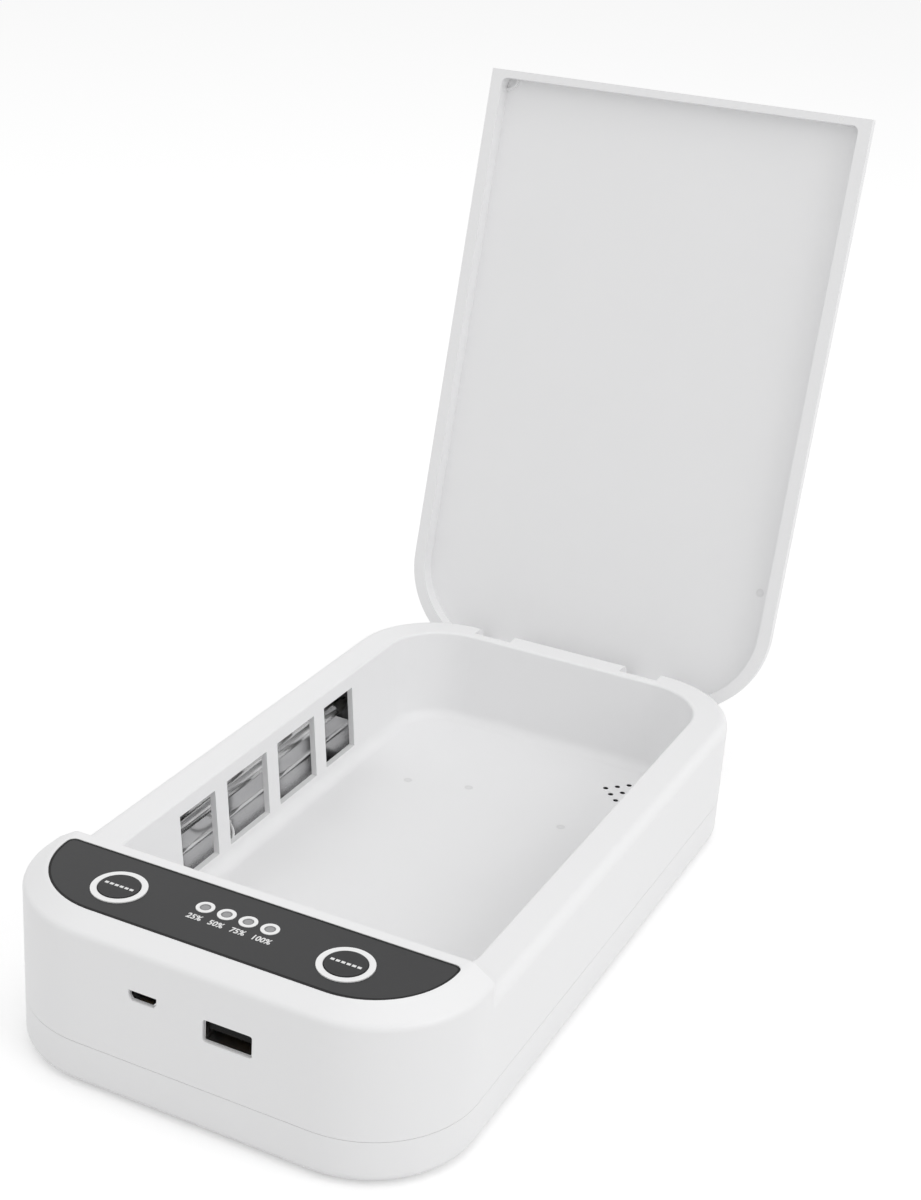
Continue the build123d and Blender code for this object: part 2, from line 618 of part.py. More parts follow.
def base_cover():
    """Tray under the housing, with a tongue that locates inside its walls."""
    tray = prism(body_outline(), FOOT_HEIGHT, SEAM_HEIGHT)
    tray = fillet(edges_at(tray, FOOT_HEIGHT), BASE_FILLET)
    tray += prism(body_outline(SHELL_WALL - TONGUE_WALL), BASE_INSIDE, TONGUE_TOP)
    tray -= prism(body_outline(SHELL_WALL), BASE_INSIDE, TONGUE_TOP + 1)
    for point in foot_points():
        tray -= rod(FOOT_RADIUS + FIT, 0, FOOT_HEIGHT + FOOT_POCKET, *point)
    for point in base_screw_points():
        tray -= rod(SCREW_HEAD_RADIUS + FIT, 0, FOOT_HEIGHT + SCREW_HEAD, *point)
        tray -= rod(SCREW_RADIUS + FIT, 0, BASE_INSIDE + 1, *point)
    return tray


def rubber_feet():
    return [rod(FOOT_RADIUS, 0, FOOT_HEIGHT + FOOT_POCKET, *point) for point in foot_points()]


def screw_up(seat, tip, x, y):
    """Screw driven upwards, its head's upper face on a seat."""
    head = rod(SCREW_HEAD_RADIUS, seat - SCREW_HEAD, seat, x, y)
    return head + rod(SCREW_RADIUS, seat - SCREW_HEAD / 2, tip, x, y)


def base_screws():
    seat = FOOT_HEIGHT + SCREW_HEAD
    tip = BASE_INSIDE + BASE_SCREW_BITE - SCREW_TIP_GAP
    return [screw_up(seat, tip, x, y) for x, y in base_screw_points()]


# ---- lid and hinge ------------------------------------------------------------------------------
def opened(shape):
    """Turn a piece of the closed lid about the hinge pins to the open rest position."""
    to_axis = Pos(0, HINGE_Y, HINGE_Z)
    return to_axis * Rot(-LID_OPEN_ANGLE, 0, 0) * to_axis.inverse() * shape


def lid_form():
    """Outer form of the closed lid, bevelled along its sides and back and cut square at its free edge."""
    front = LID_FRONT_Y - 4 * BEVEL_WIDTH
    plan = rounded_plan(LID_SIDE_X, front, LID_REAR_Y, 2 * BEVEL_WIDTH, LID_REAR_RADIUS)
    return softly_bevelled(plan, LID_BOTTOM) - nose_region(LID_FRONT_Y)


def lid_recess():
    """Hollow under the lid, with a lip left all round it."""
    plan = rounded_plan(
        LID_SIDE_X - LID_SIDE_LIP,
        LID_FRONT_Y + LID_FRONT_LIP,
        LID_REAR_Y - LID_SIDE_LIP,
        LID_RECESS_CORNER,
        LID_REAR_RADIUS - LID_SIDE_LIP,
    )
    return prism(plan, LID_BOTTOM - 1, LID_CEILING)


def hinge_arm(x):
    """Arm that comes down from the lid's ceiling to the barrel round a pin."""
    half = ARM_WIDTH / 2
    arm = block(x - half, x + half, ARM_FRONT_Y, ARM_REAR_Y, HINGE_Z, LID_CEILING + ARM_ROOT)
    return arm + rod_along_x(BARREL_RADIUS, ARM_WIDTH, x, HINGE_Y, HINGE_Z)


def magnet_rod(radius):
    y = LID_FRONT_Y + LID_FRONT_LIP / 2
    return rod(radius, LID_BOTTOM, LID_BOTTOM + MAGNET_LENGTH, MAGNET_X, y)


def lid_shell():
    """The lid in one piece with its two hinge arms."""
    shell = lid_form() - lid_recess()
    for x, y in hinge_points():
        shell += hinge_arm(x)
        shell -= rod_along_x(PIN_RADIUS + PIN_RUNNING_CLEARANCE, ARM_WIDTH + 2, x, y, HINGE_Z)
    return shell - magnet_rod(MAGNET_RADIUS)


def hinge_pin(side):
    return rod_along_x(PIN_RADIUS, PIN_LENGTH, side * HINGE_SPREAD, HINGE_Y, HINGE_Z)


def lid_sensor():
    """Sensor under the front ledge, below the lid's magnet."""
    half = SENSOR_WIDTH / 2
    rear = CHAMBER_FRONT_Y - CHAMBER_WALL - FIT
    return block(
        MAGNET_X - half, MAGNET_X + half, rear - SENSOR_DEPTH, rear, RIM_CEILING - SENSOR_HEIGHT, RIM_CEILING
    )


# ---- control panel, buttons and indicators ------------------------------------------------------
def control_panel():
    """Dark plate on the nose with a hole for each ring."""
    plate = prism(panel_outline(), PANEL_SEAT, PANEL_TOP)
    plate -= [rod(RING_RADIUS + FIT / 2, PANEL_SEAT - 1, PANEL_TOP + 1, *point) for point in button_points()]
    for point in indicator_points():
        plate -= rod(INDICATOR_RADIUS + FIT / 2, PANEL_SEAT - 1, PANEL_TOP + 1, *point)
    return plate


def collar(bore, sleeve_radius, flange_radius, top, x, y):
    """Flanged ring that drops through the nose's top from above."""
    ring = rod(flange_radius, PANEL_SEAT, top, x, y) + rod(sleeve_radius, NOSE_CEILING, top, x, y)
    return ring - rod(bore, NOSE_CEILING - 1, top + 1, x, y)


def button_ring(side):
    """Collar round a button."""
    top = NOSE_HEIGHT + RING_PROUD
    return collar(RING_BORE, RING_SLEEVE_RADIUS, RING_RADIUS, top, side * BUTTON_SPREAD, BUTTON_Y)


def button(side):
    """Push button: a hollow cap with a stop flange and a stem down to its switch."""
    x = side * BUTTON_SPREAD
    top = NOSE_HEIGHT + BUTTON_PROUD
    stop = NOSE_CEILING - TOUCH_GAP
    skirt_bottom = stop - BUTTON_FLANGE
    cap = rod(BUTTON_RADIUS, skirt_bottom, top, x, BUTTON_Y)
    cap += rod(BUTTON_RADIUS + BUTTON_FLANGE_WIDTH, skirt_bottom, stop, x, BUTTON_Y)
    cap -= rod(BUTTON_RADIUS - BUTTON_WALL, skirt_bottom - 1, top - BUTTON_WALL, x, BUTTON_Y)
    return cap + rod(BUTTON_STEM_RADIUS, PLUNGER_TOP, top - BUTTON_WALL / 2, x, BUTTON_Y)


def indicator_rings():
    """White rings round the four indicators."""
    top = PANEL_TOP + RING_PROUD
    bore = INDICATOR_WINDOW_RADIUS + TOUCH_GAP
    return [
        collar(bore, INDICATOR_SLEEVE_RADIUS, INDICATOR_RADIUS, top, x, y) for x, y in indicator_points()
    ]


def indicator_light_pipes():
    """Clear rods that carry the light from the board up to the rings, each with a shoulder."""
    low = CONTROL_BOARD_TOP + LED_HEIGHT + LED_GAP
    pipes = []
    for x, y in indicator_points():
        pipe = rod(INDICATOR_WINDOW_RADIUS, low, PANEL_TOP, x, y)
        pipes.append(pipe + rod(INDICATOR_RADIUS, NOSE_CEILING - SHOULDER, NOSE_CEILING, x, y))
    return pipes


def indicator_leds():
    half = LED_SIZE / 2
    base = CONTROL_BOARD_TOP
    return [
        block(x - half, x + half, y - half, y + half, base, base + LED_HEIGHT) for x, y in indicator_points()
    ]


# ---- boards and what stands on them -------------------------------------------------------------
def control_board():
    """Upper board, under the buttons and the indicators."""
    half = CONTROL_BOARD_HALF_WIDTH
    rear = CONTROL_BOARD_REAR_Y
    board = block(-half, half, rear - CONTROL_BOARD_DEPTH, rear, CONTROL_BOARD_BOTTOM, CONTROL_BOARD_TOP)
    return board - [rod(SCREW_RADIUS + FIT, 0, NOSE_HEIGHT, *point) for point in control_posts()]


def tact_switch(side):
    """Square switch under a button, with a bore for its plunger."""
    x = side * BUTTON_SPREAD
    half = SWITCH_SIZE / 2
    top = CONTROL_BOARD_TOP + SWITCH_HEIGHT
    body = block(x - half, x + half, BUTTON_Y - half, BUTTON_Y + half, CONTROL_BOARD_TOP, top)
    depth = PLUNGER_DEPTH + BUTTON_TRAVEL + FIT
    return body - rod(PLUNGER_RADIUS + FIT, top - depth, top + 1, x, BUTTON_Y)


def switch_plunger(side):
    low = CONTROL_BOARD_TOP + SWITCH_HEIGHT - PLUNGER_DEPTH
    return rod(PLUNGER_RADIUS, low, PLUNGER_TOP, side * BUTTON_SPREAD, BUTTON_Y)


def main_board():
    """Lower board: follows the housing's rounded front, with a cut-out for the larger socket."""
    plan = body_outline(SHELL_WALL + MAIN_BOARD_INSET)
    rear = NOSE_INSIDE_REAR_Y - MAIN_BOARD_REAR_GAP
    half = MAIN_BOARD_HALF_WIDTH
    board = prism(plan, MAIN_BOARD_BOTTOM, MAIN_BOARD_TOP)
    board &= block(-half, half, FRONT_Y, rear, 0, NOSE_HEIGHT)
    room = USB_A_WIDTH / 2 + USB_A_SHELL + SOCKET_GAP
    back = SOCKET_MOUTH_Y + USB_A_DEPTH + SOCKET_GAP
    board -= block(USB_A_X - room, USB_A_X + room, FRONT_Y - 1, back, 0, NOSE_HEIGHT)
    return board - [rod(SCREW_RADIUS + FIT, 0, NOSE_HEIGHT, *point) for point in main_posts()]


def board_screws():
    """Screws that hold both boards to their posts."""
    screws = []
    for point in control_posts():
        tip = CONTROL_BOARD_TOP + BOARD_SCREW_BITE - SCREW_TIP_GAP
        screws.append(screw_up(CONTROL_BOARD_BOTTOM, tip, *point))
    for point in main_posts():
        tip = MAIN_BOARD_TOP + BOARD_SCREW_BITE - SCREW_TIP_GAP
        screws.append(screw_up(MAIN_BOARD_BOTTOM, tip, *point))
    return screws


def board_link():
    """Pin header that joins the two boards."""
    half = LINK_WIDTH / 2
    rear = CONTROL_BOARD_REAR_Y - FIT
    return block(-half, half, rear - LINK_DEPTH, rear, MAIN_BOARD_TOP, CONTROL_BOARD_BOTTOM)


def lamp_transformer():
    """Transformer under the main board: a frame core round a wound coil."""
    half = TRANSFORMER_WIDTH / 2
    depth = TRANSFORMER_DEPTH / 2
    middle = (MAIN_BOARD_BOTTOM * 2 - TRANSFORMER_HEIGHT) / 2
    low = MAIN_BOARD_BOTTOM - TRANSFORMER_HEIGHT
    core = block(-half, half, -depth, depth, low, MAIN_BOARD_BOTTOM)
    limb = TRANSFORMER_LIMB
    core -= block(-half + limb, half - limb, -depth - 1, depth + 1, low + limb, MAIN_BOARD_BOTTOM - limb)
    span = TRANSFORMER_WIDTH - limb
    core += rod_along_x(TRANSFORMER_HEIGHT / 2 - limb / 2, span, 0, 0, middle)
    return Pos(TRANSFORMER_X, BUTTON_Y, 0) * core


# ---- sockets ------------------------------------------------------------------------------------
def along_y(section, start, end):
    """Extrude an outline of the XZ plane from one depth to another."""
    return extrude(Pos(0, start, 0) * section, end - start, dir=(0, 1, 0))


def usb_a_section(grow=0.0):
    """Mouth of the larger socket, let out by a wall or a clearance."""
    outline = RectangleRounded(USB_A_WIDTH + 2 * grow, USB_A_HEIGHT + 2 * grow, USB_A_CORNER + grow)
    return Plane((USB_A_X, 0, USB_A_Z), x_dir=(1, 0, 0), z_dir=(0, -1, 0)) * outline


def micro_usb_section(grow=0.0):
    """Mouth of the smaller socket: wide above, with sloping sides below."""
    half = MICRO_WIDTH / 2 + grow
    high = MICRO_HEIGHT / 2 + grow
    foot = half - MICRO_SIDE_SLOPE
    upper = [(-half, high), (half, high), (half, 0)]
    lower = [(foot, -high), (-foot, -high), (-half, 0)]
    outline = Polygon(*upper, *lower, align=None)
    return Plane((MICRO_X, 0, MICRO_Z), x_dir=(1, 0, 0), z_dir=(0, -1, 0)) * outline


def usb_a_shell():
    """Bent steel shell of the larger socket, closed at its back."""
    end = SOCKET_MOUTH_Y + USB_A_DEPTH
    shell = along_y(usb_a_section(USB_A_SHELL), SOCKET_MOUTH_Y, end)
    return shell - along_y(usb_a_section(), SOCKET_MOUTH_Y - 1, end - USB_A_SHELL)


def usb_a_insulator():
    """Moulding in the larger socket: a block at its back and the tongue with the contacts."""
    back = SOCKET_MOUTH_Y + USB_A_DEPTH - USB_A_SHELL
    body = along_y(usb_a_section(), back - USB_A_BACK, back)
    half = USB_A_TONGUE_WIDTH / 2
    high = USB_A_Z + USB_A_HEIGHT / 2 - USB_A_TONGUE_OFFSET
    return body + block(
        USB_A_X - half, USB_A_X + half, SOCKET_MOUTH_Y + TONGUE_SETBACK, back, high - USB_A_TONGUE, high
    )


def micro_usb_shell():
    """Steel shell of the smaller socket, closed at its back."""
    end = SOCKET_MOUTH_Y + MICRO_DEPTH
    shell = along_y(micro_usb_section(MICRO_SHELL), SOCKET_MOUTH_Y, end)
    return shell - along_y(micro_usb_section(), SOCKET_MOUTH_Y - 1, end - MICRO_SHELL)


def micro_usb_insulator():
    """Tongue of the smaller socket and the block that carries it."""
    back = SOCKET_MOUTH_Y + MICRO_DEPTH - MICRO_SHELL
    body = along_y(micro_usb_section(), back - MICRO_BACK, back)
    half = MICRO_TONGUE_WIDTH / 2
    high = MICRO_Z + MICRO_HEIGHT / 2 - MICRO_TONGUE_OFFSET
    return body + block(
        MICRO_X - half, MICRO_X + half, SOCKET_MOUTH_Y + TONGUE_SETBACK, back, high - MICRO_TONGUE, high
    )


# ---- lamps --------------------------------------------------------------------------------------
def rod_along_y(radius, start, end, x, z):
    """Cylinder along Y between two depths."""
    bar = Cylinder(radius, end - start, align=(Align.CENTER, Align.CENTER, Align.MIN))
    return Pos(x, start, z) * Rot(-90, 0, 0) * bar


def uv_lamp():
    """Glass tube with rounded ends, held at each end by the depth of a holder's grip."""
    start = LAMP_FRONT_Y - HOLDER_GRIP
    end = LAMP_REAR_Y + HOLDER_GRIP
    tube = rod_along_y(LAMP_RADIUS, start, end, LAMP_X, LAMP_HEIGHT)
    return fillet(tube.edges().filter_by(GeomType.CIRCLE), LAMP_END_ROUND)


def lamp_holder(face_y, outward):
    """Block pushed over one end of a lamp; its face is where the lit length ends."""
    far_y = face_y + outward * HOLDER_LENGTH
    low, high = sorted((face_y, far_y))
    half_x = HOLDER_WIDTH / 2
    half_z = HOLDER_HEIGHT / 2
    body = block(LAMP_X - half_x, LAMP_X + half_x, low, high, LAMP_HEIGHT - half_z, LAMP_HEIGHT + half_z)
    body = fillet(body.edges().filter_by(Axis.Y), HOLDER_ROUND)
    bore_low, bore_high = sorted((face_y - outward, face_y + outward * HOLDER_GRIP))
    return body - rod_along_y(LAMP_RADIUS, bore_low, bore_high, LAMP_X, LAMP_HEIGHT)


def lamp_holders():
    return Compound(children=[lamp_holder(LAMP_FRONT_Y, -1), lamp_holder(LAMP_REAR_Y, 1)])


def reflector():
    """Bright sheet behind a lamp, bent over above and below it."""
    inner_x = REFLECTOR_X - REFLECTOR_FLANGE
    height = REFLECTOR_TOP - REFLECTOR_BOTTOM
    middle = (REFLECTOR_TOP + REFLECTOR_BOTTOM) / 2
    depth = 2 * REFLECTOR_FLANGE
    sheet = REFLECTOR_THICKNESS
    plane = Plane((inner_x, 0, middle), x_dir=(1, 0, 0), z_dir=(0, -1, 0))
    profile = plane * RectangleRounded(depth, height, REFLECTOR_BEND + sheet)
    profile -= plane * RectangleRounded(depth - 2 * sheet, height - 2 * sheet, REFLECTOR_BEND)
    start = LAMP_FRONT_Y + REFLECTOR_END_GAP
    end = LAMP_REAR_Y - REFLECTOR_END_GAP
    bent = along_y(profile, start, end) - block(0, inner_x, start - 1, end + 1, 0, NOSE_HEIGHT)
    return bent - tub(CHAMBER_WALL + REFLECTOR_TUB_GAP, CHAMBER_UNDERSIDE)


def wire(points):
    """Round wire along straight runs joined by tangent arcs."""
    path = FilletPolyline(*points, radius=LEAD_BEND)
    return sweep(Plane(path @ 0, z_dir=path % 0) * Circle(LEAD_RADIUS), path)


def front_lead():
    """Lead from the front holder to the main board."""
    return wire([
        (LAMP_X, LAMP_FRONT_Y - HOLDER_LENGTH, LAMP_HEIGHT),
        (LAMP_X, LEAD_TURN_Y, LAMP_HEIGHT),
        (LEAD_END_X, LEAD_END_Y, LEAD_END_HEIGHT),
    ])


def rear_lead():
    """Lead from the rear holder, down to the base and forward under the lamp to the main board."""
    start = LAMP_REAR_Y + HOLDER_LENGTH
    low = BASE_INSIDE + LEAD_RADIUS + TOUCH_GAP
    return wire([
        (LAMP_X, start, LAMP_HEIGHT),
        (LAMP_X, start + LEAD_LOOP, LAMP_HEIGHT),
        (LAMP_X, start + LEAD_LOOP, low),
        (LAMP_X, LEAD_TURN_Y, low),
        (LEAD_END_X - LEAD_END_PITCH, LEAD_END_Y, LEAD_END_HEIGHT),
    ])


def lamp_leads():
    return Compound(children=[front_lead(), rear_lead()])


# ---- aroma cup and pad --------------------------------------------------------------------------
def aroma_cup():
    """Cup on the base cover under the aroma holes."""
    cup = rod(AROMA_CUP_RADIUS, BASE_INSIDE, CHAMBER_UNDERSIDE - FIT, AROMA_X, AROMA_Y)
    inside = AROMA_CUP_RADIUS - AROMA_CUP_WALL
    return cup - rod(inside, BASE_INSIDE + AROMA_CUP_WALL, CHAMBER_UNDERSIDE + 1, AROMA_X, AROMA_Y)


def aroma_pad():
    low = BASE_INSIDE + AROMA_CUP_WALL
    radius = AROMA_CUP_RADIUS - AROMA_CUP_WALL - FIT
    return rod(radius, low, low + AROMA_PAD_THICKNESS, AROMA_X, AROMA_Y)


# ---- the whole box ------------------------------------------------------------------------------
def single_nodes():
    """Nodes that are on neither side in particular."""
    return {
        "upper_housing": upper_housing(),
        "base_cover": base_cover(),
        "control_panel": control_panel(),
        "indicator_rings": indicator_rings(),
        "indicator_light_pipes": indicator_light_pipes(),
        "indicator_leds": indicator_leds(),
        "control_board": control_board(),
        "main_board": main_board(),
        "board_link": board_link(),
        "lamp_transformer": lamp_transformer(),
        "usb_a_shell": usb_a_shell(),
        "usb_a_insulator": usb_a_insulator(),
        "micro_usb_shell": micro_usb_shell(),
        "micro_usb_insulator": micro_usb_insulator(),
        "aroma_cup": aroma_cup(),
        "aroma_pad": aroma_pad(),
        "base_screws": base_screws(),
        "board_screws": board_screws(),
        "rubber_feet": rubber_feet(),
        "lid_sensor": lid_sensor(),
        "lid_shell": opened(lid_shell()),
        "lid_magnet": opened(magnet_rod(MAGNET_RADIUS)),
    }


def paired_nodes():
    """Nodes that come in a left and a right one."""
    nodes = {}
    for name, side in SIDES.items():
        nodes[f"button_{name}"] = button(side)
        nodes[f"button_ring_{name}"] = button_ring(side)
        nodes[f"tact_switch_{name}"] = tact_switch(side)
        nodes[f"switch_plunger_{name}"] = switch_plunger(side)
        nodes[f"hinge_pin_{name}"] = hinge_pin(side)
    makers = {
        "uv_lamp": uv_lamp,
        "lamp_holders": lamp_holders,
        "reflector": reflector,
        "lamp_leads": lamp_leads,
    }
    for base, make in makers.items():
        for name, shape in mirrored(make).items():
            nodes[f"{base}_{name}"] = shape
    return nodes


def main():
    for node, shape in {**single_nodes(), **paired_nodes()}.items():
        save(shape, node)


if __name__ == "__main__":
    main()
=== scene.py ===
"""Looks of a UV steriliser box for phones: finishes, small added pieces, light and camera.

Everything is in metres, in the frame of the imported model: X to the right, Y to the back, Z up.
"""

import logging
from dataclasses import dataclass, field
from enum import Enum
from math import cos, pi, radians, sin
from typing import Callable, Optional, Protocol, Sequence, Union

import bmesh
import bpy
from mathutils import Matrix, Vector


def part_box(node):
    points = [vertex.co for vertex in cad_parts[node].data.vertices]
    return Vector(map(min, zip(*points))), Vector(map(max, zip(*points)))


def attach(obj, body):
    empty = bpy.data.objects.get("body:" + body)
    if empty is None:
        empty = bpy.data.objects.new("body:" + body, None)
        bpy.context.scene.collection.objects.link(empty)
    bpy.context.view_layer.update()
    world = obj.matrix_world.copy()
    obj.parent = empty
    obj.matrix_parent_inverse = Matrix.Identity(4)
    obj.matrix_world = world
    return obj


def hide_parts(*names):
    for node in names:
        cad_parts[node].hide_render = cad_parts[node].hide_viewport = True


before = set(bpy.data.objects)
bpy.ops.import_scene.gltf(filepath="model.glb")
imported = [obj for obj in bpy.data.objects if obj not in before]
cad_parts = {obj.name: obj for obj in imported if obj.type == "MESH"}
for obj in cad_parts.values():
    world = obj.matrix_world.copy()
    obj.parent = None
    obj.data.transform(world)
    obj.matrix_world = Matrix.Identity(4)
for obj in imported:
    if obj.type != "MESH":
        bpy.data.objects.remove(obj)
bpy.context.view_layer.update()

log = logging.getLogger("steriliser_box")

MM = 0.001
MICRON = 0.000001
TURNED_STEPS = 32  # segments round a turned piece
SMALL_TURNED_STEPS = 24  # the same for a piece under 2 mm across
CAP_HEIGHT = 0.72  # height of a figure as a share of the type size
STROKE_GAIN = 0.035  # how much a figure's strokes are thickened, as a share of its height
LIT_POINT = (0.0, 0.03, 0.08)  # what the soft lamps aim at
FLATTEN = (1.0, 1.0, 0.0)  # factors that drop the height from a position

Colour = tuple[float, float, float]
Point = tuple[float, float, float]
FlatPoint = tuple[float, float]


class Side(Enum):
    """The two sides of the box, as the sign of X."""

    LEFT = -1
    RIGHT = 1

    @property
    def word(self) -> str:
        """The side as it is written in the nodes' names."""
        return self.name.lower()


class Blend(Enum):
    """Ways in which one colour is laid over another."""

    MIX = "MIX"
    MULTIPLY = "MULTIPLY"


def scaled(colour: Colour, factor: float, lift: float = 0.0) -> Colour:
    """Colour multiplied by a factor and then lifted, held at white."""
    return tuple(min(channel * factor + lift, 1.0) for channel in colour)


def quarter(steps: int) -> list[float]:
    """Angles that divide a quarter turn into equal steps, with both ends."""
    return [step / steps * pi / 2 for step in range(steps + 1)]


# ---- shader expressions -------------------------------------------------------------------------
class Signal:
    """A value inside a shader; Python's operators on it add Math nodes."""

    def __init__(self, graph: "Graph", socket: bpy.types.NodeSocket) -> None:
        """Keep the socket that carries the value and the graph that it is in."""
        self.graph = graph
        self.socket = socket

    def __add__(self, other: "Value") -> "Signal":
        """Sum of two values."""
        return self.graph.math("ADD", self, other)

    def __radd__(self, other: "Value") -> "Signal":
        """Sum with a plain number on the left."""
        return self.graph.math("ADD", other, self)

    def __sub__(self, other: "Value") -> "Signal":
        """Difference of two values."""
        return self.graph.math("SUBTRACT", self, other)

    def __rsub__(self, other: "Value") -> "Signal":
        """A plain number less this value."""
        return self.graph.math("SUBTRACT", other, self)

    def __mul__(self, other: "Value") -> "Signal":
        """Product of two values."""
        return self.graph.math("MULTIPLY", self, other)

    def __rmul__(self, other: "Value") -> "Signal":
        """Product with a plain number on the left."""
        return self.graph.math("MULTIPLY", other, self)

    def __truediv__(self, other: "Value") -> "Signal":
        """Quotient of two values."""
        return self.graph.math("DIVIDE", self, other)

    def __lt__(self, other: "Value") -> "Signal":
        """1 where this value is the smaller one, otherwise 0."""
        return self.graph.math("LESS_THAN", self, other)


Value = Union[Signal, float]
Tint = Union[Signal, Colour]


class Graph:
    """Node tree of a material or of the world."""

    def __init__(self, owner: Union[bpy.types.Material, bpy.types.World]) -> None:
        """Take over an owner's node tree and empty it.

        Args:
            owner: the material or world.
        """
        self.owner = owner
        owner.use_nodes = True
        self.tree = owner.node_tree
        self.tree.nodes.clear()

    @classmethod
    def material(cls, name: str) -> "Graph":
        """Start a new material of the given name."""
        return cls(bpy.data.materials.new(name))

    def add(
        self,
        kind: str,
        settings: Optional[dict[str, object]] = None,
        inputs: Optional[dict[Union[str, int], object]] = None,
    ) -> bpy.types.Node:
        """Add any node.

        Args:
            kind: Blender's name of the node type.
            settings: properties of the node, set before its sockets are fed; "stops" gives a
                colour ramp's positions and grey levels.
            inputs: number, colour or Signal for each socket, by name or index.

        Returns:
            The new node.
        """
        node = self.tree.nodes.new(kind)
        for name, value in (settings or {}).items():
            if name == "stops":
                self._set_stops(node, value)
            else:
                setattr(node, name, value)
        for key, value in (inputs or {}).items():
            self.feed(node.inputs[key], value)
        return node

    @staticmethod
    def _set_stops(node: bpy.types.Node, stops: Sequence[tuple[float, float]]) -> None:
        """Give a colour ramp its stops.

        Args:
            node: the colour ramp.
            stops: position and grey level of each stop.
        """
        elements = node.color_ramp.elements
        while len(elements) > 1:
            elements.remove(elements[-1])
        elements[0].position = stops[0][0]
        elements[0].color = (stops[0][1],) * 3 + (1.0,)
        for position, level in stops[1:]:
            elements.new(position).color = (level, level, level, 1.0)

    def feed(self, socket: bpy.types.NodeSocket, value: object) -> None:
        """Set a socket to a constant, or link a Signal to it.

        Args:
            socket: the input to feed.
            value: a Signal, a number, or a colour or vector of three numbers.
        """
        if isinstance(value, Signal):
            self.tree.links.new(value.socket, socket)
        elif isinstance(value, tuple) and socket.type == "RGBA":
            socket.default_value = (*value, 1.0)
        else:
            socket.default_value = value

    def signal(self, node: bpy.types.Node, output: Union[str, int] = 0) -> Signal:
        """One output of a node as a Signal."""
        return Signal(self, node.outputs[output])

    def math(self, operation: str, left: Value, right: Value = 0.0) -> Signal:
        """Math node on one or two values."""
        node = self.add("ShaderNodeMath", {"operation": operation}, {0: left, 1: right})
        return self.signal(node)

    def place(self) -> Signal:
        """Position on the object in metres."""
        return self.signal(self.add("ShaderNodeTexCoord"), "Object")

    def stretched(self, place: Signal, factors: Point) -> Signal:
        """Position with each axis multiplied by its own factor."""
        return self.signal(self._vector_math("MULTIPLY", place, factors))

    def distance(self, place: Signal, centre: Point) -> Signal:
        """Distance from a point, in metres."""
        return self.signal(self._vector_math("DISTANCE", place, centre), "Value")

    def offset(self, place: Signal, centre: Point) -> dict[str, Signal]:
        """Offset from a point along each axis.

        Args:
            place: position that is measured.
            centre: the point, in metres.

        Returns:
            The offset along each axis, by the axis' letter.
        """
        offset = self.signal(self._vector_math("SUBTRACT", place, centre))
        parts = self.add("ShaderNodeSeparateXYZ", None, {0: offset})
        return {axis: self.signal(parts, axis) for axis in "XYZ"}

    def _vector_math(self, operation: str, place: Signal, point: Point) -> bpy.types.Node:
        """Vector Math node on a position and a constant point."""
        return self.add("ShaderNodeVectorMath", {"operation": operation}, {0: place, 1: point})

    def noise(
        self, place: Signal, per_metre: float, detail: float = 2.0, roughness: float = 0.5
    ) -> Signal:
        """Cloudy noise around 0.5.

        Args:
            place: position that the noise is read at.
            per_metre: how many lumps fit in a metre.
            detail: octaves of finer noise.
            roughness: strength of the finer octaves.

        Returns:
            The noise as a value.
        """
        inputs = {"Vector": place, "Scale": per_metre, "Detail": detail, "Roughness": roughness}
        return self.signal(self.add("ShaderNodeTexNoise", None, inputs), "Fac")

    def seen(self) -> Signal:
        """Tell what is seen, straight, in a mirror or through glass, from what is lit.

        Returns:
            1 for what is seen and 0 for light.
        """
        path = self.add("ShaderNodeLightPath")
        kinds = ("Camera", "Glossy", "Transmission")
        camera, glossy, passing = (self.signal(path, f"Is {kind} Ray") for kind in kinds)
        return self.math("MINIMUM", camera + glossy + passing, 1.0)

    def waves(self, place: Signal, per_metre: float, axis: str, warp: float = 0.0) -> Signal:
        """Parallel bands along one axis, from 0 to 1.

        Args:
            place: position that the bands are read at.
            per_metre: scale of the bands.
            axis: letter of the axis that they follow each other along.
            warp: how much they wander.

        Returns:
            The bands as a value.
        """
        settings = {"wave_type": "BANDS", "bands_direction": axis}
        inputs = {"Vector": place, "Scale": per_metre, "Distortion": warp}
        return self.signal(self.add("ShaderNodeTexWave", settings, inputs), "Fac")

    def ramp(self, value: Signal, *stops: tuple[float, float]) -> Signal:
        """Grey level read off a ramp of stops."""
        node = self.add("ShaderNodeValToRGB", {"stops": stops}, {"Fac": value})
        return self.signal(node, "Color")

    def tint(self, base: Tint, top: Tint, amount: Value, blend: Blend = Blend.MIX) -> Signal:
        """Lay one colour over another.

        Args:
            base: the colour below.
            top: the colour above.
            amount: how much of the upper one shows.
            blend: the way they are combined.

        Returns:
            The resulting colour.
        """
        settings = {"data_type": "RGBA", "blend_type": blend.value}
        node = self.add("ShaderNodeMix", settings, {0: amount, 6: base, 7: top})
        return self.signal(node, 2)

    def bump(self, height: Signal, depth: float, below: Optional[Signal] = None) -> Signal:
        """Surface normal bent by a height.

        Args:
            height: height as a value from 0 to 1.
            depth: metres that a height of 1 stands for.
            below: a normal that is bent already.

        Returns:
            The bent normal.
        """
        inputs: dict[str, object] = {"Height": height, "Distance": depth, "Strength": 1.0}
        if below is not None:
            inputs["Normal"] = below
        return self.signal(self.add("ShaderNodeBump", None, inputs), "Normal")

    def finish(self, **sockets: object) -> bpy.types.Material:
        """End the material in a Principled shader.

        Args:
            sockets: values of the shader's sockets, with underscores for spaces.

        Returns:
            The finished material.
        """
        inputs = {name.replace("_", " "): value for name, value in sockets.items()}
        shader = self.add("ShaderNodeBsdfPrincipled", None, inputs)
        self.add("ShaderNodeOutputMaterial", None, {"Surface": self.signal(shader)})
        return self.owner


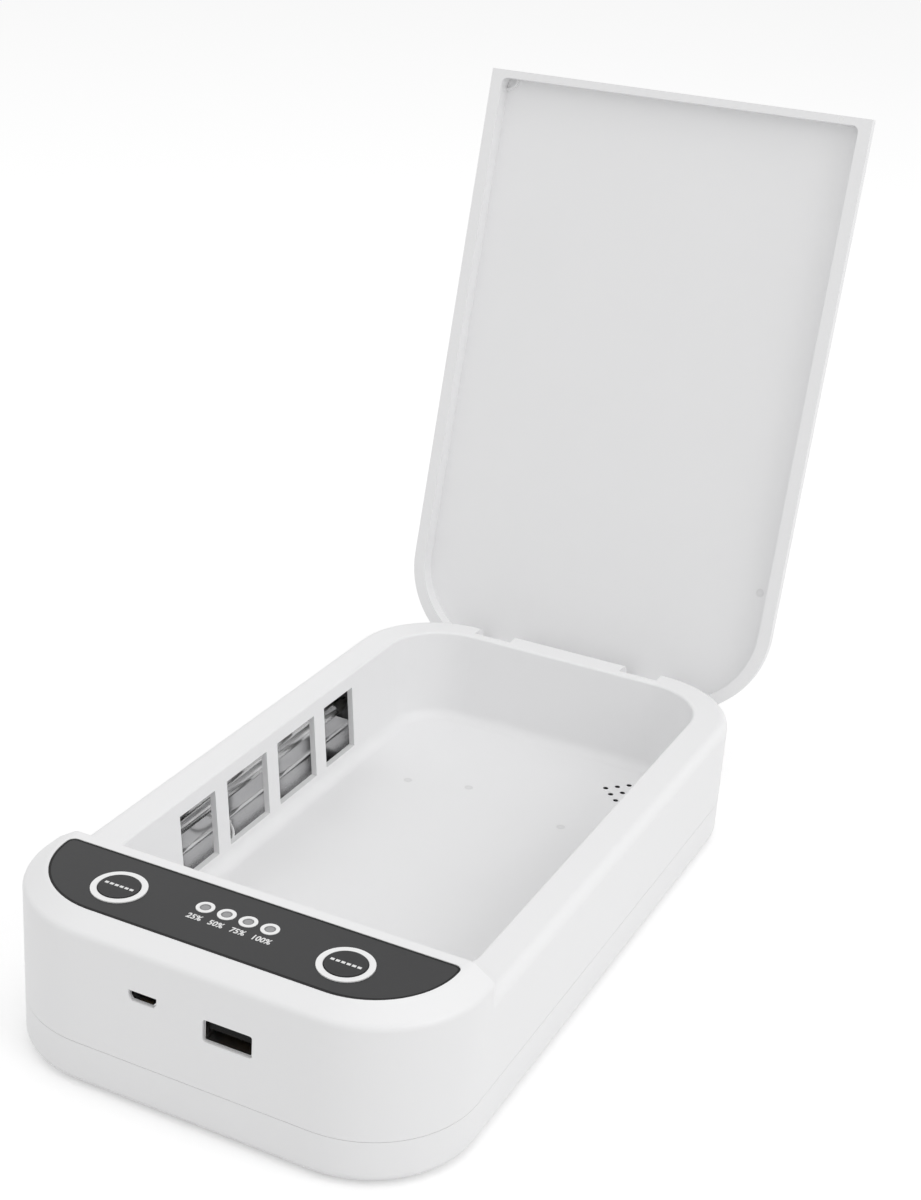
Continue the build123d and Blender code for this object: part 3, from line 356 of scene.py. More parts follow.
# ---- finishes -----------------------------------------------------------------------------------
class Finish(Protocol):
    """Anything that a material can be made from."""

    def make(self, name: str) -> bpy.types.Material:
        """Build the material under a name."""


@dataclass(frozen=True)
class MouldedPlastic:
    """Injection-moulded plastic with a fine spark-eroded grain."""

    colour: Colour
    roughness: float = 0.42
    grain_per_metre: float = 2600.0
    grain_depth: float = 12 * MICRON
    cloud_per_metre: float = 38.0
    variation: float = 0.02
    gloss: float = 0.5
    marks: tuple[Point, ...] = ()
    mark_radius: float = 1.5 * MM
    mark_depth: float = 0.06 * MM
    # grey multiplied into each ejector mark's groove: painted shade
    mark_groove_shade: Colour = (0.86, 0.86, 0.86)
    # painted shade: the aroma holes' walls are darkened below their mouths, near this centre
    hole_shade_centre: Optional[Point] = None
    hole_shade_reach: float = 8.0 * MM
    hole_shade_lip: float = 0.15 * MM
    painted_hole_shade: Colour = (0.06, 0.06, 0.06)

    def make(self, name: str) -> bpy.types.Material:
        """Build the material, with its ejector marks, painted shade in their grooves, and painted
        shade down the walls of its aroma holes.

        Args:
            name: name of the material.

        Returns:
            The finished material.
        """
        graph = Graph.material(name)
        place = graph.place()
        cloud = graph.noise(place, self.cloud_per_metre, 3.0)
        grain = graph.noise(place, self.grain_per_metre, 3.0, 0.6)
        colour = graph.tint(scaled(self.colour, 1 - self.variation), self.colour, cloud)
        rough = self.roughness - 0.04 + 0.05 * grain + 0.04 * cloud
        normal = graph.bump(grain, self.grain_depth)
        for centre in self.marks:
            reach = graph.distance(place, centre) / self.mark_radius
            dish = graph.ramp(reach, (0.0, 0.4), (0.6, 0.4), (0.8, 0.0), (1.0, 1.0))
            # Painted shade in each mark's groove, darkest just inside its ring.
            edge = graph.ramp(reach, (0.0, 0.6), (0.7, 1.0), (1.0, 0.0))
            colour = graph.tint(colour, self.mark_groove_shade, edge, Blend.MULTIPLY)
            normal = graph.bump(dish, self.mark_depth, normal)
        # Painted shade down the aroma holes' walls, below the mouth and near their centre.
        if self.hole_shade_centre:
            flat = graph.stretched(place, FLATTEN)
            near = graph.distance(flat, (*self.hole_shade_centre[:2], 0.0)) < self.hole_shade_reach
            below = graph.offset(place, self.hole_shade_centre)["Z"] < -self.hole_shade_lip
            colour = graph.tint(colour, self.painted_hole_shade, below * near, Blend.MULTIPLY)
        return graph.finish(
            Base_Color=colour, Roughness=rough, Specular_IOR_Level=self.gloss, Normal=normal
        )


@dataclass(frozen=True)
class LightPipe:
    """Milky clear plastic, with painted shade round the rim of each pipe."""

    colour: Colour
    # colour of the painted shade round each pipe's rim
    rim: Colour
    centres: tuple[Point, ...]
    radius: float
    ripple: float = 0.02 * MM

    def make(self, name: str) -> bpy.types.Material:
        """Build the material.

        Args:
            name: name of the material.

        Returns:
            The finished material.
        """
        graph = Graph.material(name)
        place = graph.place()
        flat = graph.stretched(place, FLATTEN)
        reach: Value = 1.0
        for centre in self.centres:
            reach = graph.math("MINIMUM", graph.distance(flat, centre) / self.radius, reach)
        # Painted shade: the colour darkens towards each pipe's rim.
        colour = graph.tint(self.colour, self.rim, graph.ramp(reach, (0.5, 0.0), (0.95, 1.0)))
        cloud = graph.noise(place, 900.0, 2.0)
        return graph.finish(
            Base_Color=colour, Roughness=0.25 + 0.1 * cloud, Normal=graph.bump(cloud, self.ripple)
        )


@dataclass(frozen=True)
class PrintedFilm:
    """Dark printed plate under a smooth clear film."""

    colour: Colour
    roughness: float = 0.38
    gloss: float = 0.3
    rub_lines: Point = (400.0, 5200.0, 400.0)
    ripple: float = 6 * MICRON

    def make(self, name: str) -> bpy.types.Material:
        """Build the material, with faint cloudiness in the print and hairline rubs in the film.

        Args:
            name: name of the material.

        Returns:
            The finished material.
        """
        graph = Graph.material(name)
        place = graph.place()
        cloud = graph.noise(place, 55.0, 4.0)
        rubs = graph.noise(graph.stretched(place, self.rub_lines), 1.0, 2.0)
        colour = graph.tint(self.colour, scaled(self.colour, 1.18), cloud)
        rough = self.roughness + 0.08 * rubs + 0.04 * cloud
        normal = graph.bump(graph.noise(place, 900.0, 2.0), self.ripple)
        return graph.finish(
            Base_Color=colour, Roughness=rough, Specular_IOR_Level=self.gloss, Normal=normal
        )


@dataclass(frozen=True)
class PaintedInk:
    """Screen-printed ink, slightly grainy."""

    colour: Colour

    def make(self, name: str) -> bpy.types.Material:
        """Build the material.

        Args:
            name: name of the material.

        Returns:
            The finished material.
        """
        graph = Graph.material(name)
        speck = graph.noise(graph.place(), 5200.0, 2.0)
        colour = graph.tint(self.colour, scaled(self.colour, 0.85), speck)
        return graph.finish(Base_Color=colour, Roughness=0.55 + 0.1 * speck, Specular_IOR_Level=0.3)


@dataclass(frozen=True)
class SheetMetal:
    """Bare or plated metal with fine drawn lines; a thin sheet also has slow bulges."""

    colour: Colour
    roughness: float = 0.28
    lines: Point = (300.0, 6000.0, 6000.0)
    line_depth: float = 3 * MICRON
    bulge_depth: float = 0.0
    bulges_per_metre: float = 60.0

    def make(self, name: str) -> bpy.types.Material:
        """Build the material.

        Args:
            name: name of the material.

        Returns:
            The finished material.
        """
        graph = Graph.material(name)
        place = graph.place()
        drawn = graph.noise(graph.stretched(place, self.lines), 1.0, 3.0)
        cloud = graph.noise(place, 120.0, 3.0)
        colour = graph.tint(self.colour, scaled(self.colour, 0.86), cloud)
        rough = self.roughness - 0.05 + 0.06 * drawn + 0.05 * cloud
        normal = graph.bump(drawn, self.line_depth)
        if self.bulge_depth:
            bulges = graph.noise(place, self.bulges_per_metre, 1.0)
            normal = graph.bump(bulges, self.bulge_depth, normal)
        return graph.finish(Base_Color=colour, Metallic=1.0, Roughness=rough, Normal=normal)


@dataclass(frozen=True)
class Rubber:
    """Soft dull rubber or silicone with a dusty bloom."""

    colour: Colour
    skin_depth: float = 20 * MICRON

    def make(self, name: str) -> bpy.types.Material:
        """Build the material.

        Args:
            name: name of the material.

        Returns:
            The finished material.
        """
        graph = Graph.material(name)
        place = graph.place()
        dust = graph.noise(place, 420.0, 5.0, 0.65)
        bloom = graph.ramp(dust, (0.45, 0.0), (0.75, 1.0))
        colour = graph.tint(self.colour, scaled(self.colour, 1.5, 0.01), bloom)
        normal = graph.bump(graph.noise(place, 3000.0, 2.0), self.skin_depth)
        return graph.finish(Base_Color=colour, Roughness=0.7 + 0.15 * dust, Normal=normal)


@dataclass(frozen=True)
class CircuitBoard:
    """Glass-epoxy board with solder mask over its tracks."""

    colour: Colour
    track_depth: float = 30 * MICRON
    weave_depth: float = 4 * MICRON

    def make(self, name: str) -> bpy.types.Material:
        """Build the material, with raised tracks under the mask and the cloth's weave.

        Args:
            name: name of the material.

        Returns:
            The finished material.
        """
        graph = Graph.material(name)
        place = graph.place()
        across = graph.waves(place, 160.0, "X", 1.5)
        tracks = graph.ramp(across, (0.55, 0.0), (0.62, 1.0))
        weave = graph.waves(place, 1500.0, "Y") * graph.waves(place, 1500.0, "X")
        normal = graph.bump(weave, self.weave_depth, graph.bump(tracks, self.track_depth))
        colour = graph.tint(self.colour, scaled(self.colour, 1.6, 0.01), tracks * 0.7)
        return graph.finish(Base_Color=colour, Roughness=0.3 + 0.1 * weave, Normal=normal)


@dataclass(frozen=True)
class ClearGlass:
    """Clear drawn glass."""

    colour: Colour
    roughness: float = 0.02
    index: float = 1.46
    ripple_lines: Point = (900.0, 60.0, 900.0)
    ripple_depth: float = 10 * MICRON

    def make(self, name: str) -> bpy.types.Material:
        """Build the material, with the slight ripple of drawn tube.

        Args:
            name: name of the material.

        Returns:
            The finished material.
        """
        graph = Graph.material(name)
        place = graph.place()
        ripple = graph.noise(graph.stretched(place, self.ripple_lines), 1.0, 1.0)
        smear = graph.noise(place, 260.0, 3.0)
        return graph.finish(
            Base_Color=self.colour,
            Roughness=self.roughness + 0.03 * smear,
            Transmission_Weight=1.0,
            IOR=self.index,
            Normal=graph.bump(ripple, self.ripple_depth),
        )


@dataclass(frozen=True)
class Ferrite:
    """Sintered core with copper winding on its middle limb."""

    colour: Colour
    copper: Colour
    centre: Point
    window: FlatPoint
    winding_depth: float = 60 * MICRON

    def make(self, name: str) -> bpy.types.Material:
        """Build the material; the winding shows inside the core's window.

        Args:
            name: name of the material.

        Returns:
            The finished material.
        """
        graph = Graph.material(name)
        place = graph.place()
        offset = graph.offset(place, self.centre)
        inside: Value = 1.0
        for axis, reach in zip("XZ", self.window):
            inside = (graph.math("ABSOLUTE", offset[axis]) < reach) * inside
        turns = graph.waves(place, 420.0, "X")
        speck = graph.noise(place, 2200.0, 4.0)
        copper = graph.tint(self.copper, scaled(self.copper, 0.45), turns)
        colour = graph.tint(self.colour, copper, inside)
        normal = graph.bump(turns * inside + speck * 0.3, self.winding_depth)
        return graph.finish(Base_Color=colour, Roughness=0.55 + 0.2 * speck, Normal=normal)


@dataclass(frozen=True)
class Felt:
    """Pressed fibres."""

    colour: Colour
    fibre_lines: Point = (3000.0, 900.0, 2000.0)
    fibre_depth: float = 0.2 * MM

    def make(self, name: str) -> bpy.types.Material:
        """Build the material.

        Args:
            name: name of the material.

        Returns:
            The finished material.
        """
        graph = Graph.material(name)
        place = graph.place()
        fibres = graph.noise(graph.stretched(place, self.fibre_lines), 1.0, 5.0, 0.7)
        return graph.finish(
            Base_Color=graph.tint(self.colour, scaled(self.colour, 0.7), fibres),
            Roughness=0.95,
            Sheen_Weight=0.4,
            Normal=graph.bump(fibres, self.fibre_depth),
        )


class FinishBook:
    """Makes each finish once and hands it out by name."""

    def __init__(self) -> None:
        """Start with no material made."""
        self._made: dict[str, bpy.types.Material] = {}

    def get(self, name: str, finish: Finish) -> bpy.types.Material:
        """Material of a finish, made on first use.

        Args:
            name: name of the material.
            finish: the finish that it is made from.

        Returns:
            The material.
        """
        if name not in self._made:
            self._made[name] = finish.make(name)
        return self._made[name]


WHITE = (0.86, 0.86, 0.865)  # colour of the outer mouldings
SCREW_STEEL = SheetMetal((0.55, 0.55, 0.56))


def dress_node(node: str, material: bpy.types.Material) -> None:
    """Put a material in every slot of a CAD node.

    Args:
        node: name of the node.
        material: the material.
    """
    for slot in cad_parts[node].material_slots:
        slot.link = "OBJECT"
        slot.material = material
    log.info("dressed %s with %s", node, material.name)


def row_centres(node: str, count: int) -> list[FlatPoint]:
    """Centres of the equal round solids that stand in a row along X in one node.

    Args:
        node: name of the node.
        count: how many solids it holds.

    Returns:
        X and Y of each centre, from left to right.
    """
    low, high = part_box(node)
    radius = (high[1] - low[1]) / 2
    pitch = (high[0] - low[0] - 2 * radius) / (count - 1)
    middle = (low[1] + high[1]) / 2
    return [(low[0] + radius + pitch * index, middle) for index in range(count)]


# ---- mesh helpers -------------------------------------------------------------------------------
class Piece:
    """A new mesh object that rides on a body of the model."""

    def __init__(self, name: str, body: str, mesh: bpy.types.Mesh) -> None:
        """Link the mesh to the scene and let it ride on its body.

        Args:
            name: name of the object.
            body: name of the body that it moves with.
            mesh: its mesh, already in place.
        """
        mesh.name = name
        self.object = bpy.data.objects.new(name, mesh)
        bpy.context.scene.collection.objects.link(self.object)
        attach(self.object, body)
        log.info("added %s, %d faces", name, len(mesh.polygons))

    def dress(self, material: bpy.types.Material, slot: str) -> "Piece":
        """Give the piece its material.

        Args:
            material: the material.
            slot: name of the record's slot for the piece; not used.

        Returns:
            The piece.
        """
        self.object.data.materials.clear()
        self.object.data.materials.append(material)
        return self

    def smooth(self, angle: float = 35.0) -> "Piece":
        """Shade smooth, with sharp edges kept crisp.

        Args:
            angle: degrees at which an edge counts as sharp.

        Returns:
            The piece.
        """
        mesh = self.object.data
        mesh.shade_smooth()
        mesh.set_sharp_from_angle(angle=radians(angle))
        return self


def mesh_from(make: Callable[[bmesh.types.BMesh], None]) -> bpy.types.Mesh:
    """Run a function on an empty bmesh.

    Args:
        make: the function, which adds its shape to the bmesh.

    Returns:
        The mesh that it built.
    """
    shape = bmesh.new()
    make(shape)
    return mesh_of(shape)


def mesh_of(shape: bmesh.types.BMesh) -> bpy.types.Mesh:
    """Turn a bmesh into a mesh with its faces turned outwards, and free it.

    Args:
        shape: the bmesh.

    Returns:
        The mesh.
    """
    bmesh.ops.recalc_face_normals(shape, faces=shape.faces)
    mesh = bpy.data.meshes.new("piece")
    shape.to_mesh(mesh)
    shape.free()
    return mesh


def lathe(
    shape: bmesh.types.BMesh, profile: Sequence[tuple[float, float]], steps: int, place: Matrix
) -> list[list[bmesh.types.BMVert]]:
    """Turn a profile about the Z axis of a placement.

    Args:
        shape: bmesh that the surface is added to.
        profile: radius and height of each point, in metres.
        steps: how many segments go round.
        place: placement of the turned piece.

    Returns:
        The ring of vertices at each point of the profile.
    """
    rings = []
    for radius, height in profile:
        if not radius:
            rings.append([shape.verts.new(place @ Vector((0.0, 0.0, height)))])
            continue
        ring = []
        for step in range(steps):
            turn = 2 * pi * step / steps
            spot = Vector((radius * cos(turn), radius * sin(turn), height))
            ring.append(shape.verts.new(place @ spot))
        rings.append(ring)
    for lower, upper in zip(rings, rings[1:]):
        for step in range(steps):
            after = (step + 1) % steps
            corners = []
            for vert in (
                lower[step % len(lower)],
                lower[after % len(lower)],
                upper[after % len(upper)],
                upper[step % len(upper)],
            ):
                if vert not in corners:
                    corners.append(vert)
            if len(corners) > 2:
                shape.faces.new(corners)
    return rings


def bridge(
    shape: bmesh.types.BMesh,
    first: Sequence[bmesh.types.BMVert],
    second: Sequence[bmesh.types.BMVert],
) -> None:
    """Join two closed rings of as many vertices with a band of faces.

    Args:
        shape: bmesh that the faces are added to.
        first: vertices of one ring, in order.
        second: vertices of the other, in the same order.
    """
    for index in range(len(first)):
        after = (index + 1) % len(first)
        shape.faces.new((first[index], first[after], second[after], second[index]))


def slab(shape: bmesh.types.BMesh, low: Point, high: Point, bevel: float = 0.0) -> None:
    """Box between two corners with softened edges.

    Args:
        shape: bmesh that the box is added to.
        low: lowest corner.
        high: highest corner.
        bevel: width of the softened edges.
    """
    size = [b - a for a, b in zip(low, high)]
    middle = [(a + b) / 2 for a, b in zip(low, high)]
    matrix = Matrix.Translation(middle) @ Matrix.Diagonal((*size, 1.0))
    made = bmesh.ops.create_cube(shape, size=1.0, matrix=matrix)
    if bevel:
        edges = list({edge for vert in made["verts"] for edge in vert.link_edges})
        bmesh.ops.bevel(shape, geom=edges, offset=bevel, segments=2, affect="EDGES", profile=0.5)


def lettering(text: str, height: float, thickness: float, place: Matrix) -> bpy.types.Mesh:
    """Mesh of a line of plain figures, centred on its placement and standing on its XY plane.

    Args:
        text: the figures.
        height: height of a figure, in metres.
        thickness: how far the print stands up.
        place: placement of the line's centre.

    Returns:
        The mesh.
    """
    curve = bpy.data.curves.new("figures", "FONT")
    curve.body = text
    curve.align_x = "CENTER"
    curve.align_y = "CENTER"
    curve.size = height / CAP_HEIGHT
    curve.extrude = thickness / 2
    curve.offset = STROKE_GAIN * height
    curve.resolution_u = 3
    mesh = mesh_of_curve(curve)
    mesh.transform(place @ Matrix.Translation((0.0, 0.0, thickness / 2)))
    return mesh


def bent_wire(points: Sequence[Point], radius: float) -> bpy.types.Mesh:
    """Mesh of a round wire bent smoothly through points.

    Args:
        points: where the wire's middle passes.
        radius: radius of the wire.

    Returns:
        The mesh.
    """
    curve = bpy.data.curves.new("wire", "CURVE")
    curve.dimensions = "3D"
    curve.bevel_depth = radius
    curve.bevel_resolution = 3
    curve.use_fill_caps = True
    spline = curve.splines.new("BEZIER")
    spline.bezier_points.add(len(points) - 1)
    for knot, place in zip(spline.bezier_points, points):
        knot.co = place
        knot.handle_left_type = knot.handle_right_type = "AUTO"
    return mesh_of_curve(curve)


def mesh_of_curve(curve: bpy.types.Curve) -> bpy.types.Mesh:
    """Turn a curve or a text into a mesh, and remove the curve.

    Args:
        curve: the curve or text.

    Returns:
        The mesh.
    """
    holder = bpy.data.objects.new("holder", curve)
    bpy.context.scene.collection.objects.link(holder)
    ready = holder.evaluated_get(bpy.context.evaluated_depsgraph_get())
    mesh = bpy.data.meshes.new_from_object(ready)
    bpy.data.objects.remove(holder)
    bpy.data.curves.remove(curve)
    return mesh


@dataclass(frozen=True)
class CrossScrew:
    """Pan-headed thread-forming screw with a cross recess, standing on its head along Z."""

    length: float
    head_radius: float = 2.1 * MM
    head_height: float = 1.2 * MM
    edge_round: float = 0.4 * MM
    thread_radius: float = 1.1 * MM
    core_radius: float = 0.85 * MM
    pitch: float = 0.8 * MM
    recess_reach: float = 1.25 * MM
    recess_half: float = 0.32 * MM
    recess_depth: float = 0.75 * MM
    recess_taper: float = 0.7

    def build(self, shape: bmesh.types.BMesh, place: Matrix) -> None:
        """Add the screw to a bmesh.

        Args:
            shape: bmesh that the screw is added to.
            place: placement of the middle of its head's face.
        """
        face = self.head_radius - self.edge_round
        profile = [(face, 0.0)]
        for turn in quarter(4)[1:]:
            profile.append((face + self.edge_round * sin(turn), self.edge_round * (1 - cos(turn))))
        profile += [(self.head_radius, self.head_height), (self.thread_radius, self.head_height)]
        height = self.head_height
        while height + self.pitch < self.length - self.pitch:
            profile.append((self.core_radius, height + self.pitch / 2))
            profile.append((self.thread_radius, height + self.pitch))
            height += self.pitch
        profile.append((0.0, self.length))
        rim = lathe(shape, profile, TURNED_STEPS, place)[0]
        self._recess(shape, place, rim)

    def _recess(
        self, shape: bmesh.types.BMesh, place: Matrix, rim: list[bmesh.types.BMVert]
    ) -> None:
        """Sink the cross into the head's face, which is filled between the cross and its rim.

        Args:
            shape: bmesh that the recess is added to.
            place: placement of the middle of the face.
            rim: vertices round the face.
        """
        arm, reach = self.recess_half, self.recess_reach
        quarter = [(reach, -arm), (reach, arm), (arm, arm)]
        outline = []
        for turn in range(4):
            for x, y in quarter:
                for _ in range(turn):
                    x, y = -y, x
                outline.append((x, y))
        mouth, bottom = (
            [shape.verts.new(place @ Vector((share * x, share * y, depth))) for x, y in outline]
            for share, depth in ((1.0, 0.0), (self.recess_taper, self.recess_depth))
        )
        bridge(shape, mouth, bottom)
        shape.faces.new(bottom)
        borders = [
            shape.edges.get((vert, ring[(index + 1) % len(ring)]))
            for ring in (mouth, rim)
            for index, vert in enumerate(ring)
        ]
        bmesh.ops.triangle_fill(shape, edges=borders, use_beauty=True)


# ---- sub-assemblies -----------------------------------------------------------------------------
@dataclass
class Housing:
    """Upper housing, base cover, feet and the screws in the base."""

    finishes: FinishBook
    floor_marks: tuple[FlatPoint, ...] = (
        (-27.7 * MM, 53.0 * MM),
        (-9.5 * MM, 59.0 * MM),
        (24.7 * MM, 52.0 * MM),
    )
    floor_height: float = 10.2 * MM
    rear_screw_inset: float = 7.5 * MM
    screws: Optional[Piece] = None

    def build(self) -> None:
        """Drive the base screws, with their threads and cross recesses."""
        low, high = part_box("base_screws")
        screw = CrossScrew(high[2] - low[2])
        nose_x, nose_y = high[0] - screw.head_radius, low[1] + screw.head_radius
        rear_x, rear_y = nose_x - self.rear_screw_inset, high[1] - screw.head_radius
        shape = bmesh.new()
        for x, y in ((nose_x, nose_y), (-nose_x, nose_y), (rear_x, rear_y), (-rear_x, rear_y)):
            screw.build(shape, Matrix.Translation((x, y, low[2])))
        self.screws = Piece("base_screw_set", "housing", mesh_of(shape)).smooth()
        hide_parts("base_screws")

    def dress(self) -> None:
        """Give the mouldings their satin white, with painted shade in the ejector marks and down
        the aroma holes, and the feet and screws their own finishes.
        """
        marks = tuple((*spot, self.floor_height) for spot in self.floor_marks)
        low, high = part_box("aroma_pad")
        hole_shade_centre = ((low[0] + high[0]) / 2, (low[1] + high[1]) / 2, self.floor_height)
        # The upper housing's material carries painted shade in its ejector marks and aroma holes.
        shell = MouldedPlastic(WHITE, marks=marks, hole_shade_centre=hole_shade_centre)
        dress_node("upper_housing", self.finishes.get("shell_white_marked", shell))
        dress_node("base_cover", self.finishes.get("shell_white", MouldedPlastic(WHITE)))
        dress_node("rubber_feet", self.finishes.get("foot_rubber", Rubber((0.2, 0.2, 0.21))))
        self.screws.dress(self.finishes.get("screw_steel", SCREW_STEEL), "steel")


@dataclass
class Lid:
    """Lid shell with its magnet, and the pins that it turns on."""

    finishes: FinishBook
    hinge: Point = (0.0, 107.4 * MM, 33.1 * MM)
    open_angle: float = 103.0
    ceiling: float = 45.3 * MM
    corner: FlatPoint = (-58.8 * MM, -75.9 * MM)
    rib_reach: float = 3.9 * MM
    rib_width: float = 0.7 * MM
    rib_depth: float = 0.9 * MM
    rib_root: float = 0.1 * MM
    mark: Point = (55.3 * MM, 69.4 * MM, 45.3 * MM)
    rib: Optional[Piece] = None

    @property
    def opening(self) -> Matrix:
        """Motion from the closed to the open position."""
        turn = Matrix.Rotation(-radians(self.open_angle), 4, "X")
        return Matrix.Translation(self.hinge) @ turn @ Matrix.Translation(-Vector(self.hinge))

    def build(self) -> None:
        """Add the small curved rib across the corner by the lid's free edge."""
        shape = bmesh.new()
        x, y = self.corner
        inner, outer = self.rib_reach - self.rib_width, self.rib_reach
        low, high = self.ceiling - self.rib_depth, self.ceiling + self.rib_root
        section = ((inner, low), (outer, low), (outer, high), (inner, high))
        rings = [
            [
                shape.verts.new((x + reach * cos(turn), y + reach * sin(turn), z))
                for reach, z in section
            ]
            for turn in quarter(12)
        ]
        for first, second in zip(rings, rings[1:]):
            bridge(shape, first, second)
        shape.faces.new(rings[0])
        shape.faces.new(rings[-1])
        mesh = mesh_of(shape)
        mesh.transform(self.opening)
        self.rib = Piece("lid_corner_rib", "lid", mesh).smooth()

    def dress(self) -> None:
        """Give the lid, the magnet and the pins their finishes."""
        mark = tuple(self.opening @ Vector(self.mark))
        # The lid's ejector mark gets painted shade in its groove.
        white = self.finishes.get("lid_white", MouldedPlastic(WHITE, marks=(mark,)))
        nickel = self.finishes.get("magnet_nickel", SheetMetal((0.78, 0.78, 0.78), 0.5))
        pin = self.finishes.get("pin_steel", SheetMetal((0.6, 0.6, 0.6)))
        dress_node("lid_shell", white)
        self.rib.dress(white, "white_shell")
        dress_node("lid_magnet", nickel)
        for side in Side:
            dress_node(f"hinge_pin_{side.word}", pin)


@dataclass
class ControlPanel:
    """Dark plate on the nose with its buttons, indicators and printed figures."""

    finishes: FinishBook
    figures: tuple[str, ...] = ("25%", "50%", "75%", "100%")
    figure_height: float = 2.0 * MM
    figure_squeeze: float = 0.86
    figure_drop: float = 4.9 * MM
    last_shift: float = 0.5 * MM
    print_thickness: float = 0.04 * MM
    dash_count: int = 6
    dash_length: float = 1.0 * MM
    dash_gap: float = 0.42 * MM
    dash_width: float = 0.8 * MM
    # a dark line of painted shade runs round the plate's edge, standing for the gap round it
    gap_shade_width: float = 0.55 * MM
    gap_shade_inset: float = 0.02 * MM
    pipe_radius: float = 1.7 * MM
    front_radius: float = 22.5 * MM
    rear_radius: float = 2.0 * MM
    corner_steps: int = 24
    marks: list[Piece] = field(default_factory=list)
    gap_shade_line: Optional[Piece] = None

    def build(self) -> None:
        """Print the charge figures and a plain dashed line on each button, and lay a dark line of
        painted shade along the plate's edge.
        """
        low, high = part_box("control_panel")
        squeeze = Matrix.Diagonal((self.figure_squeeze, 1.0, 1.0, 1.0))
        centres = row_centres("indicator_rings", len(self.figures))
        for text, (x, y) in zip(self.figures, centres):
            shift = self.last_shift if text == self.figures[-1] else 0.0
            place = Matrix.Translation((x + shift, y - self.figure_drop, high[2])) @ squeeze
            mesh = lettering(text, self.figure_height, self.print_thickness, place)
            self.marks.append(Piece(f"charge_figure_{text[:-1]}", "housing", mesh))
        for side in Side:
            cap_low, cap_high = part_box(f"button_{side.word}")
            centre = ((cap_low[0] + cap_high[0]) / 2, (cap_low[1] + cap_high[1]) / 2, cap_high[2])
            mesh = mesh_from(lambda shape, centre=centre: self._dashes(shape, centre))
            self.marks.append(Piece(f"button_mark_{side.word}", f"button_{side.word}", mesh))
        mesh = mesh_from(lambda shape: self._gap_shade_line(shape, low, high))
        self.gap_shade_line = Piece("panel_gap_shade", "housing", mesh)

    def _dashes(self, shape: bmesh.types.BMesh, centre: Point) -> None:
        """Row of short dashes on top of a button.

        Args:
            shape: bmesh that the dashes are added to.
            centre: middle of the button's top.
        """
        pitch = self.dash_length + self.dash_gap
        start = -pitch * (self.dash_count - 1) / 2
        half_length, half_width = self.dash_length / 2, self.dash_width / 2
        for index in range(self.dash_count):
            x = centre[0] + start + pitch * index
            low = (x - half_length, centre[1] - half_width, centre[2])
            high = (x + half_length, centre[1] + half_width, centre[2] + self.print_thickness)
            slab(shape, low, high)

    def _gap_shade_line(self, shape: bmesh.types.BMesh, low: Point, high: Point) -> None:
        """Narrow dark line along the plate's edge: painted shade of the gap round the plate.

        Args:
            shape: bmesh that the line is added to.
            low: lowest corner of the plate.
            high: highest corner of the plate.
        """
        z = high[2] + self.print_thickness / 2
        outer, inner = (
            [shape.verts.new((x, y, z)) for x, y in self._outline(low, high, inset)]
            for inset in (self.gap_shade_inset, self.gap_shade_inset + self.gap_shade_width)
        )
        bridge(shape, outer, inner)

    def _outline(self, low: Point, high: Point, inset: float) -> list[FlatPoint]:
        """Points round the plate, set in from its edge.

        Args:
            low: lowest corner of the plate.
            high: highest corner of the plate.
            inset: how far the points are from the edge.

        Returns:
            X and Y of each point.
        """
        points = []
        corners = (
            (high[0], high[1], self.rear_radius, 0),
            (low[0], high[1], self.rear_radius, 1),
            (low[0], low[1], self.front_radius, 2),
            (high[0], low[1], self.front_radius, 3),
        )
        for x, y, radius, turns in corners:
            centre_x = x - radius if x > 0 else x + radius
            centre_y = y - radius if turns < 2 else y + radius
            for step in range(self.corner_steps + 1):
                turn = (turns + step / self.corner_steps) * pi / 2
                reach = radius - inset
                points.append((centre_x + reach * cos(turn), centre_y + reach * sin(turn)))
        return points

    def dress(self) -> None:
        """Give the plate, rings, caps, light pipes and print their finishes."""
        film = PrintedFilm((0.03, 0.03, 0.031))
        dress_node("control_panel", self.finishes.get("panel_film", film))
        cap = MouldedPlastic(
            (0.026, 0.026, 0.027), 0.45, grain_depth=10 * MICRON, variation=0.15, gloss=0.3
        )
        ring = MouldedPlastic((0.88, 0.88, 0.88), 0.35)
        for side in Side:
            dress_node(f"button_{side.word}", self.finishes.get("button_plastic", cap))
            dress_node(f"button_ring_{side.word}", self.finishes.get("ring_white", ring))
        dress_node("indicator_rings", self.finishes.get("ring_white", ring))
        row = row_centres("indicator_light_pipes", len(self.figures))
        centres = tuple((*spot, 0.0) for spot in row)
        # The second colour is painted shade round each pipe's rim.
        pipe = LightPipe((0.3, 0.3, 0.305), (0.05, 0.05, 0.052), centres, self.pipe_radius)
        dress_node("indicator_light_pipes", self.finishes.get("light_pipe", pipe))
        led = MouldedPlastic((0.85, 0.83, 0.7))
        dress_node("indicator_leds", self.finishes.get("led_body", led))
        white_ink = self.finishes.get("white_ink", PaintedInk((0.85, 0.85, 0.85)))
        for piece in self.marks:
            piece.dress(white_ink, "ring_white")
        # The dark line round the plate is painted shade of the gap, laid on as black ink.
        black_ink = self.finishes.get("black_ink", PaintedInk((0.006, 0.006, 0.006)))
        self.gap_shade_line.dress(black_ink, "panel_grey")


